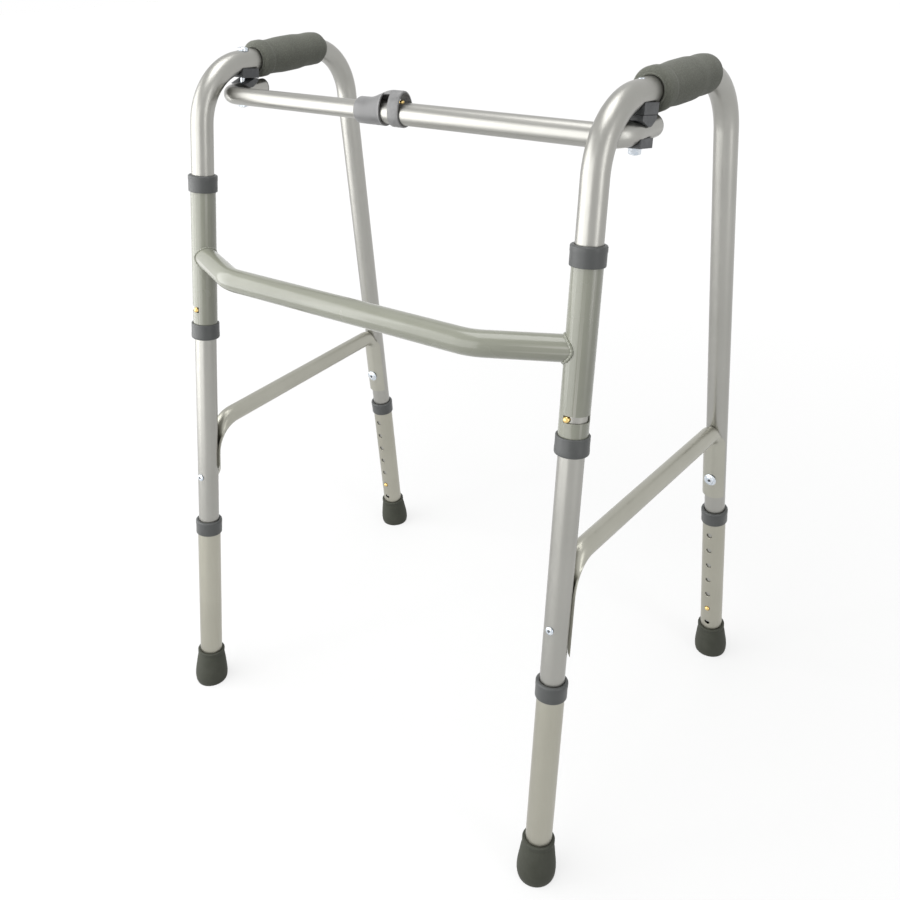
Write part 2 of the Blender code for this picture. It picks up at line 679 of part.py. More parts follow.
def side_frame(name, side):
    """The bent tube with the pieces that are fastened to it."""
    fold = empty(f"{name}_fold_axis", LEGS[name, "front"])
    plane = PLANES[name]
    front, rear = LEGS[name, "front"], LEGS[name, "rear"]
    line = [FRONT_UP * FRAME_FOOT] + FRONT_ARC + REAR_ARC
    line.append(REAR_BASE + REAR_UP * FRAME_FOOT)
    frame_tube = tube(f"{name}_side_tube", lifted(line), FRAME_RADIUS, FRAME_WALL, plane)
    far = FRAME_RADIUS + OUTER_WALL
    near = FRAME_RADIUS / 2
    spots = [("front_leg", front, LEG_BUTTON_HEIGHT, pi)]
    spots.append(("rear_leg", rear, LEG_BUTTON_HEIGHT, 0))
    spots.append(("sleeve", front, SLEEVE_BUTTON_HEIGHT, 0))
    for spot, leg, height, turn in spots:
        drill(frame_tube, f"{name}_{spot}_hole", leg, height, turn, BUTTON_HOLE, near, far)
        spring_in_leg(f"{name}_{spot}_button_spring", leg, height, turn > 1, fold)
        press = empty(f"{name}_{spot}_button_axis", radial(leg, height, turn))
        press.parent = fold
        press.matrix_parent_inverse = fold.matrix_world.inverted()
        bpy.context.view_layer.update()
        snap_button(f"{name}_{spot}_button", leg, height, turn, press)

    shank = FASTENER_RADIUS + TOUCH_GAP
    drill(frame_tube, f"{name}_rivet_hole", front, FRONT_RIVET_HEIGHT, 0, shank, -far, far)
    drill(frame_tube, f"{name}_bolt_hole", rear, REAR_BOLT_HEIGHT, 0, shank, near, far)
    pivot = PIVOTS[name]
    bolt_hole = PIVOT_BOLT_RADIUS + TOUCH_GAP
    boolean(frame_tube, cutter(rod(f"{name}_pivot_hole", bolt_hole, -THROUGH, THROUGH, pivot)))
    keep(frame_tube, fold, ALUMINIUM)
    grip(name, fold)
    side_brace(name, side, fold)
    upper_saddle(name, fold)

    rim = SADDLE_THICKNESS + TOUCH_GAP
    shell = FRAME_RADIUS + TOUCH_GAP + rim
    head = FRAME_RADIUS + TOUCH_GAP * RIVET_SEAT
    size = RIVET_HEAD_RADIUS
    rivet = [(size * wide, -shell - rise) for wide, rise in RIVET_TAIL]
    rivet += [(FASTENER_RADIUS, -shell), (FASTENER_RADIUS, head)]
    rivet += [(size * wide, head + rise) for wide, rise in RIVET_DOME]
    spot = radial(front, FRONT_RIVET_HEIGHT, 0)
    keep(turned(f"{name}_brace_front_rivet", rivet, spot, PIN_SIDES), fold, ZINC)
    size = BOLT_HEAD_RADIUS
    bolt = [(0, near), (FASTENER_RADIUS, near), (FASTENER_RADIUS, shell)]
    bolt += [(size * wide, shell + rise) for wide, rise in FLANGE_BOLT]
    spot = radial(rear, REAR_BOLT_HEIGHT, 0)
    keep(turned(f"{name}_brace_rear_bolt", bolt, spot, TUBE_SIDES), fold, ZINC)
    return fold


def grip(name, fold):
    """A foam sleeve with a lip at each end, pushed on over the rail and into its bend."""
    line = rail_walk(GRIP_START, GRIP_LENGTH, [share for share, _ in GRIP_SHAPE])
    radii = [radius for _, radius in GRIP_SHAPE]
    piece = sweep(f"{name}_grip", lifted(line), GRIP_PALM_RADIUS, PLANES[name], TUBE_SIDES, radii)
    path = [on_rail(PIVOT_S)] + REAR_ARC + [REAR_ARC[-1] - REAR_UP * GRIP_START]
    bore = sweep(f"{name}_grip_bore", lifted(path), tube_bore(FRAME_RADIUS), PLANES[name])
    boolean(piece, cutter(bore))
    keep(piece, fold, FOAM)


def side_brace(name, side, fold):
    """A round tube lofted into a thin saddle on each leg."""
    inner = FRAME_RADIUS + TOUCH_GAP
    outer = inner + SADDLE_THICKNESS
    inset = outer * SADDLE_INSET
    wrap = radians(SADDLE_WRAP)
    behind = Vector((FRONT_UP.y, -FRONT_UP.x))
    ahead = Vector((-REAR_UP.y, REAR_UP.x))
    level = Vector((1, SIDE_BRACE_SLOPE)).normalized()
    middle = Vector((0, SIDE_BRACE_HEIGHT))
    front_foot = FRONT_UP * SADDLE_FOOT + behind * inset
    rear_foot = REAR_BASE + REAR_UP * SADDLE_FOOT + ahead * inset
    front_bend = bend(
        meet(front_foot, FRONT_UP, middle, level),
        FRONT_UP,
        level,
        SIDE_BRACE_FRONT_BEND,
    )
    rear_bend = bend(
        meet(middle, level, rear_foot, REAR_UP),
        level,
        -REAR_UP,
        SIDE_BRACE_REAR_BEND,
    )
    stations = [(front_foot, FRONT_UP, 1.0)]
    last = len(front_bend) - 1
    for k, point in enumerate(front_bend):
        share = k / last
        along = FRONT_UP.lerp(level, share).normalized()
        stations.append((point, along, pressed(share / FRONT_PRESS_END)))
    last = len(rear_bend) - 1
    for k, point in enumerate(rear_bend):
        share = k / last
        along = level.slerp(-REAR_UP, share)
        stations.append((point, along, pressed((1 - share) / REAR_PRESS_END)))
    stations.append((rear_foot, -REAR_UP, 1.0))
    sections = []
    for point, along, share in stations:
        out = Vector((along.y, -along.x))
        section = []
        for k in range(TURNED_SIDES):
            angle = 2 * pi * k / TURNED_SIDES
            angle -= 2 * pi if angle > pi else 0
            round_out = SIDE_BRACE_RADIUS * cos(angle)
            round_side = SIDE_BRACE_RADIUS * sin(angle)
            facing = abs(angle) <= pi / 2 + MERGE
            swing = abs(angle) if facing else pi - abs(angle)
            turn = swing / (pi / 2) * wrap * (1 if angle >= 0 else -1)
            radius = outer if facing else inner
            thin_out = radius * cos(turn) - inset
            thin_side = radius * sin(turn)
            place = point + out * (round_out * (1 - share) + thin_out * share)
            section.append((place.x, place.y, round_side * (1 - share) + thin_side * share))
        sections.append(section)
    piece = loft(f"{name}_side_brace", sections, PLANES[name])

    front, rear = LEGS[name, "front"], LEGS[name, "rear"]
    for leg, frame in (("front", front), ("rear", rear)):
        seat = rod(
            f"{name}_{leg}_seat",
            tube_bore(FRAME_RADIUS),
            SADDLE_FOOT / 2,
            SIDE_BRACE_HEIGHT * SEAT_OVERRUN,
            frame,
            TUBE_SIDES,
        )
        boolean(piece, cutter(seat))
    shank = FASTENER_RADIUS + TOUCH_GAP
    drill(piece, f"{name}_tail_hole", front, FRONT_RIVET_HEIGHT, pi, shank, inner / 2, 2 * outer)
    drill(piece, f"{name}_shell_hole", rear, REAR_BOLT_HEIGHT, 0, shank, inner / 2, 2 * outer)
    rise = SADDLE_TRIM_RISE
    slant = Vector((-side * 2 * outer, 0, rise)).normalized()
    normal = Vector((side * rise, 0, 2 * outer)).normalized()
    trim = front @ axes((0, 0, SADDLE_FOOT + rise / 2), slant, normal.cross(slant), normal)
    low, high = (-2 * THROUGH, -THROUGH, -2 * THROUGH), (2 * THROUGH, THROUGH, 0)
    boolean(piece, cutter(block(f"{name}_tail_trim", low, high, trim)))
    keep(piece, fold, ALUMINIUM)


def pressed(share):
    """How far the tube is pressed flat: 1 at the saddle, easing to 0."""
    share = min(1.0, share)
    return 1 - share * share * (3 - 2 * share)


def rail_cutter(name, label):
    """The rail with its gap, for pieces that hug it."""
    line = FRONT_ARC[-4:] + [on_rail(PIVOT_S + SADDLE_LENGTH), REAR_ARC[0]]
    return cutter(sweep(label, lifted(line), tube_bore(FRAME_RADIUS), PLANES[name]))


def upper_saddle(name, fold):
    """The saddle that fills the space from the rail down to the parting face."""
    pivot = PIVOTS[name]
    half = SADDLE_LENGTH / 2
    wide = UPPER_SADDLE_WIDTH / 2
    top = UPPER_SADDLE_RISE - PARTING_DROP
    piece = block(
        f"{name}_upper_saddle",
        (-wide, -half, -PARTING_DROP),
        (wide, half, top),
        pivot,
    )
    boolean(piece, rail_cutter(name, f"{name}_saddle_rail"))
    hole = PIVOT_BOLT_RADIUS + TOUCH_GAP
    boolean(piece, cutter(rod(f"{name}_upper_saddle_bore", hole, -THROUGH, 0, pivot)))
    keep(piece, fold, BUSH_PLASTIC)


def crossbar_line(name, tip):
    """The centre line of one half of the crossbar, from its tip to its leg's end."""
    side = SIDES[name]
    corner = Vector((side * PIVOT_POINT.x, 0))
    out, back = Vector((side, 0)), Vector((0, 1))
    line = [Vector((tip, 0))] + bend(corner, out, back, CROSSBAR_ELBOW_RADIUS)
    return lifted(line + [Vector((corner.x, LEG_SPAN))])


def crossbar_leg(name, radius, label):
    """The crossbar's elbow and leg as a solid with its gap, for pieces that hug it."""
    return cutter(sweep(label, crossbar_line(name, 0)[1:], tube_bore(radius), CROSSBAR))


def crossbar_saddles(name, parent):
    """The saddle above the crossbar's leg and the one below it."""
    pivot = PIVOTS[name]
    radius = CROSSBAR_RADII[name]
    top = -PARTING_DROP - PARTING_GAP
    half = SADDLE_LENGTH / 2
    levels = {"top": top, "ear": -PIVOT_DROP + EAR_RISE}
    outline = [(half * along, levels[level] + rise) for level, along, rise in MID_SADDLE_SHAPE]
    upright = pivot @ axes((0, 0, 0), (0, 1, 0), UP, (1, 0, 0))
    hole = PIVOT_BOLT_RADIUS + TOUCH_GAP
    deep = -PIVOT_DROP - radius - TOUCH_GAP - LOWER_SADDLE_WALL
    pieces = {}
    pieces["mid"] = flat(f"{name}_mid_saddle", outline, MID_SADDLE_WIDTH, upright)
    if name == "left":
        lean = radians(OPEN_SADDLE_SLOPE)
        slope = pivot @ axes(
            (0, OPEN_SADDLE_START * half, top),
            (1, 0, 0),
            (0, cos(lean), sin(lean)),
            (0, -sin(lean), cos(lean)),
        )
        low, high = (-THROUGH, -THROUGH, 0), (THROUGH, 0, THROUGH)
        clear = block("open_pivot_clearance", low, high, slope)
        boolean(pieces["mid"], cutter(clear))
    wide = MID_SADDLE_WIDTH / 2 - LOWER_SADDLE_INSET
    pieces["lower"] = block(
        f"{name}_lower_saddle",
        (-wide, -LOWER_SADDLE_FRONT * half, deep),
        (wide, LOWER_SADDLE_REAR * half, -PIVOT_DROP - LOWER_SADDLE_GRIP * radius),
        pivot,
    )
    for kind, piece in pieces.items():
        boolean(piece, crossbar_leg(name, radius, f"{name}_{kind}_leg"))
        boolean(piece, cutter(rod(f"{name}_{kind}_bore", hole, -2 * THROUGH, 0, pivot)))
        keep(piece, parent, BUSH_PLASTIC)
    return deep


def pivot_hardware(name, deep, fold, bar_parent):
    """Bolt and nut. The left bolt is parted at the open pivot of the linkage."""
    pivot = PIVOTS[name]
    nut_top = deep - TOUCH_GAP
    nut_end = nut_top - NUT_HEIGHT
    tip = nut_end - BOLT_TIP
    radius = PIVOT_BOLT_RADIUS
    crown = FRAME_RADIUS + PIVOT_HEAD
    split = name == "left"
    upper_tip = -PARTING_DROP + TOUCH_GAP if split else tip
    shank = [(0, upper_tip), (radius, upper_tip), (radius, crown), (0, crown)]
    bolt = turned(f"{name}_pivot_bolt", shank, pivot, PIN_SIDES)
    seat = FRAME_RADIUS - PIVOT_HEAD
    head = [(0, seat), (PIVOT_HEAD_RADIUS, seat)]
    head += [(PIVOT_HEAD_RADIUS * wide, crown + rise) for wide, rise in HEAD_DOME]
    cap = turned(f"{name}_pivot_head", head, pivot, TUBE_SIDES)
    boolean(cap, rail_cutter(name, f"{name}_head_rail"))
    boolean(bolt, cutter(cap), "UNION")
    keep(bolt, fold, ZINC)
    if split:
        start = -PARTING_DROP - PARTING_GAP - TOUCH_GAP
        stud = rod(f"{name}_pivot_stud", radius, tip, start, pivot)
        keep(stud, bar_parent, ZINC)
    flats = NUT_ACROSS_FLATS / 2 / cos(pi / 6)
    nut = rod(f"{name}_pivot_nut", flats, nut_end, nut_top, pivot, 6)
    thread = rod(f"{name}_nut_bore", radius + TOUCH_GAP, tip - OVERRUN, nut_top + OVERRUN, pivot)
    boolean(nut, cutter(thread))
    keep(nut, bar_parent if split else fold, ZINC)


def crossbar(folds):
    """Two telescoping tubes with elbows, their saddles, bolts, plugs and release."""
    pivot_axis = empty("crossbar_pivot_axis", PIVOTS["right"])
    slide_axis = empty("crossbar_slide_axis", CROSSBAR)
    for axis, above in ((pivot_axis, folds["right"]), (slide_axis, pivot_axis)):
        axis.parent = above
        axis.matrix_parent_inverse = above.matrix_world.inverted()
        bpy.context.view_layer.update()
    parents = {"left": slide_axis, "right": pivot_axis}
    tips = {"left": CROSSBAR_INNER_TIP, "right": CROSSBAR_OUTER_TIP}
    labels = {"left": "crossbar_inner_tube", "right": "crossbar_outer_tube"}
    for name in SIDES:
        radius = CROSSBAR_RADII[name]
        line = crossbar_line(name, tips[name])
        bar = tube(labels[name], line, radius, CROSSBAR_WALL, CROSSBAR)
        hole = PIVOT_BOLT_RADIUS + TOUCH_GAP
        span = -PIVOT_DROP
        drilled = rod(f"{name}_leg_hole", hole, span - THROUGH, span + THROUGH, PIVOTS[name])
        boolean(bar, cutter(drilled))
        press_hole = RELEASE_BUTTON_RADIUS + TOUCH_GAP
        port = rod(f"{name}_release_hole", press_hole, radius / 2, THROUGH, release_frame())
        boolean(bar, cutter(port))
        keep(bar, parents[name], ALUMINIUM)
        deep = crossbar_saddles(name, parents[name])
        pivot_hardware(name, deep, folds[name], parents[name])
        end_plug(name, radius, parents[name])
    collar(pivot_axis)
    top = CROSSBAR_OUTER_RADIUS
    foot = top - TOUCH_GAP
    dome = [(0, foot), (RELEASE_BUTTON_RADIUS, foot)]
    dome += [(RELEASE_BUTTON_RADIUS * wide, top + rise) for wide, rise in RELEASE_DOME]
    press = empty("crossbar_release_axis", release_frame())
    press.parent = pivot_axis
    press.matrix_parent_inverse = pivot_axis.matrix_world.inverted()
    bpy.context.view_layer.update()
    keep(turned("crossbar_release_button", dome, release_frame(), PIN_SIDES), press, BRASS)
    inner = CROSSBAR_INNER_RADIUS - CROSSBAR_WALL
    reach = sqrt(inner**2 - (SPRING_WIDTH / 2) ** 2) - TOUCH_GAP - SPRING_THICKNESS / 2
    place = release_frame() @ axes((0, 0, 0), UP, (1, 0, 0), (0, 1, 0))
    leaf_spring("crossbar_release_spring", place, reach - SLIDE_GAP, -reach, slide_axis)


def release_frame():
    return CROSSBAR @ Matrix.Translation((RELEASE_BUTTON_X, 0, 0))


def end_plug(name, radius, parent):
    """A plastic plug in the open end of the crossbar's leg."""
    place = CROSSBAR @ axes(
        (SIDES[name] * PIVOT_POINT.x, LEG_SPAN, 0),
        (1, 0, 0),
        (0, 0, -1),
        (0, 1, 0),
    )
    stem = radius - CROSSBAR_WALL - TOUCH_GAP
    profile = [
        (0, -PLUG_DEPTH),
        (stem, -PLUG_DEPTH),
        (stem, TOUCH_GAP),
        (radius, TOUCH_GAP),
    ]
    profile += [(radius * wide, PLUG_RIM * rise) for wide, rise in PLUG_EDGE]
    keep(turned(f"crossbar_{name}_end_plug", profile, place, TUBE_SIDES), parent, BUSH_PLASTIC)


def arch_section(x, radius, rise):
    """A round across the crossbar whose upper half is stretched up by a rise."""
    points = []
    for k in range(TURNED_SIDES):
        angle = 2 * pi * k / TURNED_SIDES
        z = radius * sin(angle) + rise * max(0, sin(angle))
        points.append((x, radius * cos(angle), z))
    return points


def collar(parent):
    """The release collar: its body grips the outer tube, and its ring arches over it."""
    skin = CROSSBAR_OUTER_RADIUS + TOUCH_GAP
    rise = COLLAR_RING_RISE
    wall = COLLAR_WALL
    slot, ring, end = COLLAR_BODY_END, COLLAR_RING_START, COLLAR_RING_END
    outside = [(COLLAR_START, skin + wall - COLLAR_CHAMFER, 0)]
    outside += [(COLLAR_START + COLLAR_LEAD, skin + wall, 0), (COLLAR_HIP, skin + wall, 0)]
    outside += [(x, skin + wall, share * rise) for x, share in COLLAR_RISE]
    outside.append((end, skin + wall, rise))
    bore = skin / cos(pi / TURNED_SIDES)
    inside = [(CROSSBAR_OUTER_TIP - TOUCH_GAP, bore, 0)]
    inside += [(x, bore, share * rise) for x, share in COLLAR_HOLLOW]
    inside.append((end + OVERRUN, bore, rise))
    piece = loft("crossbar_release_collar", [arch_section(*row) for row in outside], CROSSBAR)
    hollow = loft("collar_hollow", [arch_section(*row) for row in inside], CROSSBAR)
    boolean(piece, cutter(hollow))
    along_x = CROSSBAR @ axes((0, 0, 0), (0, 1, 0), UP, (1, 0, 0))
    bore = tube_bore(CROSSBAR_INNER_RADIUS, SLIDE_GAP)
    nose = rod(
        "collar_nose_bore",
        bore,
        COLLAR_START - OVERRUN,
        CROSSBAR_OUTER_TIP + OVERRUN,
        along_x,
        TUBE_SIDES,
    )
    boolean(piece, cutter(nose))
    big = THROUGH
    half = COLLAR_SPINE_WIDTH / 2
    under = skin + COLLAR_SLOT_LEVEL * rise
    outline = [(-big, -big), (big, -big), (big, big), (half, big)]
    outline += [(half, under), (-half, under), (-half, big), (-big, big)]
    middle = (slot + ring) / 2
    place = along_x @ Matrix.Translation((0, 0, middle))
    boolean(piece, cutter(flat("collar_slot", outline, ring - slot, place)))
    keep(piece, parent, COLLAR_PLASTIC)


def extension(name, leg, fold):
    """The adjustable lower leg: an outer tube with holes, its bush and its foot."""
    frame = LEGS[name, leg]
    label = f"{name}_{leg}"
    axis = empty(f"{label}_extension_axis", frame)
    axis.parent = fold
    axis.matrix_parent_inverse = fold.matrix_world.inverted()
    bpy.context.view_layer.update()
    lip = EXTENSION_HEAD_BUSH + BUSH_HEIGHT
    head = lip - BUSH_LIP - TOUCH_GAP
    section = [(OUTER_BORE, EXTENSION_FOOT), (OUTER_RADIUS, EXTENSION_FOOT)]
    section += [(OUTER_RADIUS, head), (OUTER_BORE, head)]
    leg_tube = turned(f"{label}_leg_extension", section, frame, TUBE_SIDES, closed=True)
    turn = pi if leg == "front" else 0
    for step in range(-HOLES_BELOW, HOLES_ABOVE + 1):
        height = LEG_BUTTON_HEIGHT + step * HOLE_PITCH
        hole = f"{label}_hole_{step + HOLES_BELOW + 1}"
        near, far = OUTER_BORE / 2, THROUGH
        drill(leg_tube, hole, frame, height, turn, BUTTON_HOLE, near, far)
    keep(leg_tube, axis, CHAMPAGNE)
    bush(f"{label}_extension_bush", frame, lip, -1, axis)

    bore = OUTER_RADIUS + TOUCH_GAP
    floor = EXTENSION_FOOT - TOUCH_GAP
    sole = -FOOT_SOLE_RADIUS * SOLE_SINK
    profile = [(0, sole), (FOOT_SOLE_RADIUS, sole), *FOOT_PROFILE]
    profile += [(bore, FOOT_HEIGHT), (bore, floor), (0, floor)]
    rubber = turned(f"{label}_rubber_foot", profile, frame)
    ground = Matrix.Translation(frame.translation)
    below = block(f"{label}_ground", (-THROUGH, -THROUGH, -THROUGH), (THROUGH, THROUGH, 0), ground)
    boolean(rubber, cutter(below))
    keep(rubber, axis, RUBBER)


def build():
    front_brace()
    folds = {}
    for name, side in SIDES.items():
        folds[name] = side_frame(name, side)
        for leg in ("front", "rear"):
            extension(name, leg, folds[name])
    crossbar(folds)


build()
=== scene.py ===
"""Looks for the folding walker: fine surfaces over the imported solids, materials and studio.

Lengths are in metres and +Z is up. The front faces -Y. Each side frame lies in its own
plane, where places are (s, v): s runs rearwards from the front foot, and v runs up.
"""

import json
from math import asin, atan2, cos, pi, radians, sin, sqrt, tan

import bmesh
import bpy
from mathutils import Matrix, Vector


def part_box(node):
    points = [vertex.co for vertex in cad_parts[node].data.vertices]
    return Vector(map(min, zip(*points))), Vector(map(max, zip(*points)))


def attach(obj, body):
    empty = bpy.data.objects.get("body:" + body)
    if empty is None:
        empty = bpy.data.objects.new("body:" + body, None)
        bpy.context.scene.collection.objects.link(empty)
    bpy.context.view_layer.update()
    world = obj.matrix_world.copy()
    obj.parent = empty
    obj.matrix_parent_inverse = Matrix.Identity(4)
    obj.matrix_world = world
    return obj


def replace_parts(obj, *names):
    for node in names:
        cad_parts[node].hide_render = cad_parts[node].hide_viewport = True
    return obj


MM = 0.001

# Photograph: its square size and the camera fitted to it, in pixels, degrees and metres.
IMAGE = 900
FOCAL = 928.95
PRINCIPAL = (450.51, 373.45)
CAMERA_PLACE = (0.60003, -0.81415, 0.93528)
CAMERA_TURN = 36.246
CAMERA_DOWN = 25.762
CAMERA_ROLL = -1.570
SENSOR = 36.0

# Sizes that the solids share with these surfaces.
TOUCH = 0.3 * MM
SLIDE = 0.4 * MM
FRAME_RADIUS = 12.7 * MM
FRAME_WALL = 1.25 * MM
FRAME_FOOT = 60 * MM
RAIL_HEIGHT = 799.4 * MM
RAIL_SLOPE = 0.01
FRONT_BEND = 68 * MM
REAR_BEND = 71 * MM
OUTER_WALL = 1.2 * MM
SLEEVE_FOOT = 498 * MM
SLEEVE_HEAD = 692.8 * MM
BRACE_HEIGHT = 592.8 * MM
BRACE_RADIUS = 12.8 * MM
BRACE_WALL = 1.5 * MM
BRACE_BULGE = 41.2 * MM
BRACE_STRAIGHT = 318 * MM
BRACE_BEND = 60 * MM
BUSH_HEIGHT = 19 * MM
BUSH_LIP = 6.4 * MM
BUSH_RADIUS = 16.6 * MM
EXTENSION_FOOT = 8 * MM
EXTENSION_BUSH = 230.5 * MM
LEG_BUTTON = 85.5 * MM
HOLE_PITCH = 25.4 * MM
HOLES_BELOW = 1
HOLES_ABOVE = 5
HOLE_RADIUS = 3.5 * MM
FOOT_RADIUS = 21.4 * MM
FOOT_WIDEST = 10 * MM
FOOT_NECK = 17 * MM
FOOT_HEIGHT = 48 * MM
FOOT_SOLE = 19 * MM
BUTTON_RADIUS = 3.2 * MM
BUTTON_PROUD = 2.6 * MM
SLEEVE_BUTTON = 535 * MM
SLOT_TURN = 96
BRACE_TUBE = 10.65 * MM
BRACE_LEVEL = 375.7 * MM
BRACE_FALL = -0.0136
BRACE_FRONT_BEND = 42 * MM
BRACE_REAR_BEND = 20 * MM
SHELL = 2.6 * MM
SHELL_WRAP = 66
SHELL_FOOT = 276.5 * MM
SHELL_TRIM = 53 * MM
RIVET_HEIGHT = 312.8 * MM
RIVET_HEAD = 4.4 * MM
BOLT_HEIGHT = 304.2 * MM
FASTENER_RADIUS = 2.5 * MM
GRIP_START = 194 * MM
GRIP_LENGTH = 114 * MM
GRIP_PALM = 20.3 * MM
BAR_RADIUS = {"left": 9.5 * MM, "right": 11.1 * MM}
BAR_TIP = {"left": 80 * MM, "right": -35.4 * MM}
BAR_WALL = 1.2 * MM
BAR_FORWARD = 30.6 * MM
BAR_ELBOW = 25 * MM
BAR_PAST_BOLT = 31.5 * MM
PIVOT_DROP = 32 * MM
PIVOT_BOLT = 3 * MM
PIVOT_HEAD = 6.4 * MM
PIVOT_CROWN = 2.6 * MM
PARTING = 17 * MM
PARTING_GAP = 0.6 * MM
SADDLE_LENGTH = 26 * MM
UPPER_SADDLE = 25 * MM
UPPER_RISE = 10.3 * MM
MID_SADDLE = 23.4 * MM
LOWER_WALL = 2.4 * MM
OPEN_SLOPE = 26
NUT_HEIGHT = 5.6 * MM
NUT_FLATS = 10 * MM
PLUG_DEPTH = 9 * MM
PLUG_RIM = 1.6 * MM
COLLAR_ENDS = (-42.7 * MM, 15 * MM)
COLLAR_SLOT = (-9 * MM, 2.1 * MM)
COLLAR_HIP = -31 * MM
COLLAR_RISE = 9 * MM
COLLAR_WALL = 2 * MM
COLLAR_SPINE = 7 * MM
RELEASE_RADIUS = 2.8 * MM

# Sizes of these surfaces alone. Cutters reach past what they cut by shares of CLEAR.
FINE = 64
SMALL = 32
BEND_STEP = radians(3)
FINE_STEP = radians(2)
WELD_STEP = 1e-6
CLEAR = 20 * MM
LEG_MIDDLE = 400 * MM
RIM_WIDTH = 1.1 * MM
RIM_DEPTH = 0.7 * MM
OFF_EDGES = radians(0.2)
BEAD_RADIUS = 1.5 * MM
BEAD_STEPS = 95
BUSH_ROLL = 1.9 * MM
BUSH_WAIST = 0.25 * MM
BUSH_CORNER = 0.9 * MM
BUTTON_HEAD = 0.8 * MM
BUTTON_STEM = 2.5 * MM
SHELL_INSET = 0.52
FRONT_PRESS = 0.85
REAR_PRESS = 0.8
GRIP_ROLL = 4.6 * MM
GRIP_FOLD = 1.35 * MM
GRIP_EDGE = 1.1 * MM
SADDLE_EAR = 4.5 * MM
PLUG_CORNER = 1.1 * MM
PLUG_DISH = 0.35 * MM
RELEASE_SHOULDER = 0.6 * MM
RELEASE_DOME = 1.8 * MM
FOOT_RING = 0.25 * MM
FOOT_ROLL = 0.9 * MM

# The grip's length in shares, and its radius there in millimetres.
GRIP_SHAPE = ((0, 20.6), (0.1, 20.6), (0.15, 19), (0.2, 19.2), (0.4, 20.3))
GRIP_SHAPE += ((0.58, 20.3), (0.74, 19.1), (0.84, 19.4), (0.93, 19), (1, 17.5))

# Turned profiles: shares of a radius, or millimetres, and millimetres above a base.
RIVET_TAIL = ((0, -1.5), (0.7, -1.42), (0.86, -1.1), (0.92, -0.5), (0.92, 0))
RIVET_DOME = ((1, 0), (1, 0.35), (0.9, 0.9), (0.66, 1.4), (0.46, 1.58), (0.38, 1.5), (0.36, 0.6), (0, 0.5))
RIVET_PIN = ((0, 0.3), (0.34, 0.3), (0.3, 0.75), (0, 0.85))
FLANGE = ((7.6, 0), (7.8, 0.2), (7.8, 0.6), (7.45, 0.9), (5.772, 1.12), (4.992, 1.5))
FLANGE_SOCKET = ((2.34, 2.85), (2.028, 2.7), (1.95, 1.2), (0, 1.1))
# The profile of a near-black disc of painted shade at the floor of the bolt's socket.
FLANGE_SHADE_DISC = ((0, 1.05), (1.911, 1.05), (1.911, 1.25), (0, 1.25))
PAN_HEAD = ((1, -1.5), (0.97, -1), (0.9, -0.45), (0.78, 0.05), (0.6, 0.4), (0.4, 0.6), (0, 0.7))

# Studio: light levels, the floor's tones and reach, and each softbox's place, aim, size and power.
WORLD_LIGHT = 0.5
FLOOR_SIZE = 12
FLOOR_DROP = 0.05 * MM
FLOOR_TONE = 0.3
FLOOR_SHADE = 0.7
FLOOR_CLEAR = 0.6
FLOOR_GLOW = (0.25, 0.7)
FLOOR_FADE = (0.5, 2.4)
SOFTBOXES = (
    ("left_softbox", (-1.15, -0.8, 0.8), (0, 0, 0.6), (1.2, 1.6), 15),
    ("front_softbox", (-0.35, -1.5, 0.78), (0.05, 0, 0.7), (1.5, 1.45), 13),
    ("right_softbox", (2, -0.4, 1), (0, 0, 0.45), (0.6, 1.7), 7),
    ("top_softbox", (-0.1, -0.1, 2.6), (0, 0, 0.4), (1.6, 1.2), 20),
)

UP = Vector((0, 0, 1))
SIDES = {"left": -1, "right": 1}
OUTER_BORE = FRAME_RADIUS + SLIDE
OUTER_RADIUS = OUTER_BORE + OUTER_WALL

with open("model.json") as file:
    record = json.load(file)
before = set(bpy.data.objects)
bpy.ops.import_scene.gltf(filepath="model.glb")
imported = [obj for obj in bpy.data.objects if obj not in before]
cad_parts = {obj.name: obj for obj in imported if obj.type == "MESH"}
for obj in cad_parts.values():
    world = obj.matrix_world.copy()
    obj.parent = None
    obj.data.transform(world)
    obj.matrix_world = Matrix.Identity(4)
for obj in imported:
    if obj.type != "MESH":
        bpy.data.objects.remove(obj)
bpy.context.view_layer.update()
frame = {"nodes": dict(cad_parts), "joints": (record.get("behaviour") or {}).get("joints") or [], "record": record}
RECORD = frame["record"]
JOINTS = {joint["name"]: joint for joint in frame["joints"]}
BODY = {node: body for body, nodes in RECORD["behaviour"]["bodies"].items() for node in nodes}
FEET = {mount["name"]: Vector(mount["pos_m"]) for mount in RECORD["mounts"]}


def axes(origin, x_axis, y_axis, z_axis):
    columns = Matrix((x_axis, y_axis, z_axis)).transposed()
    return Matrix.Translation(origin) @ columns.to_4x4()


def leg_up(name, leg):
    return -Vector(JOINTS[f"{name}_{leg}_height"]["axis"]).normalized()


def side_plane(name):
    """The side frame's plane: local X is s, local Y is v, and local Z points to +X."""
    front, rear = FEET[f"{name}_front_foot_face"], FEET[f"{name}_rear_foot_face"]
    level = (rear - front).normalized()
    up = leg_up(name, "front")
    up = (up - up.dot(level) * level).normalized()
    return axes(front, level, up, level.cross(up))


def leg_frame(name, leg):
    """Local Z runs up the leg's axis, local Y rearwards in the side plane, X to +X."""
    out = PLANES[name].to_3x3() @ UP
    along = leg_up(name, leg)
    return axes(FEET[f"{name}_{leg}_foot_face"], out, along.cross(out), along)


PLANES = {name: side_plane(name) for name in SIDES}
LEGS = {(name, leg): leg_frame(name, leg) for name in SIDES for leg in ("front", "rear")}


def plane_direction(leg):
    local = PLANES["right"].to_3x3().inverted() @ LEGS["right", leg].to_3x3() @ UP
    return Vector((local.x, local.y)).normalized()


def meet(point, along, other, across):
    """Where two lines of the side plane cross."""
    det = along.x * across.y - along.y * across.x
    gap = other - point
    return point + along * (gap.x * across.y - gap.y * across.x) / det


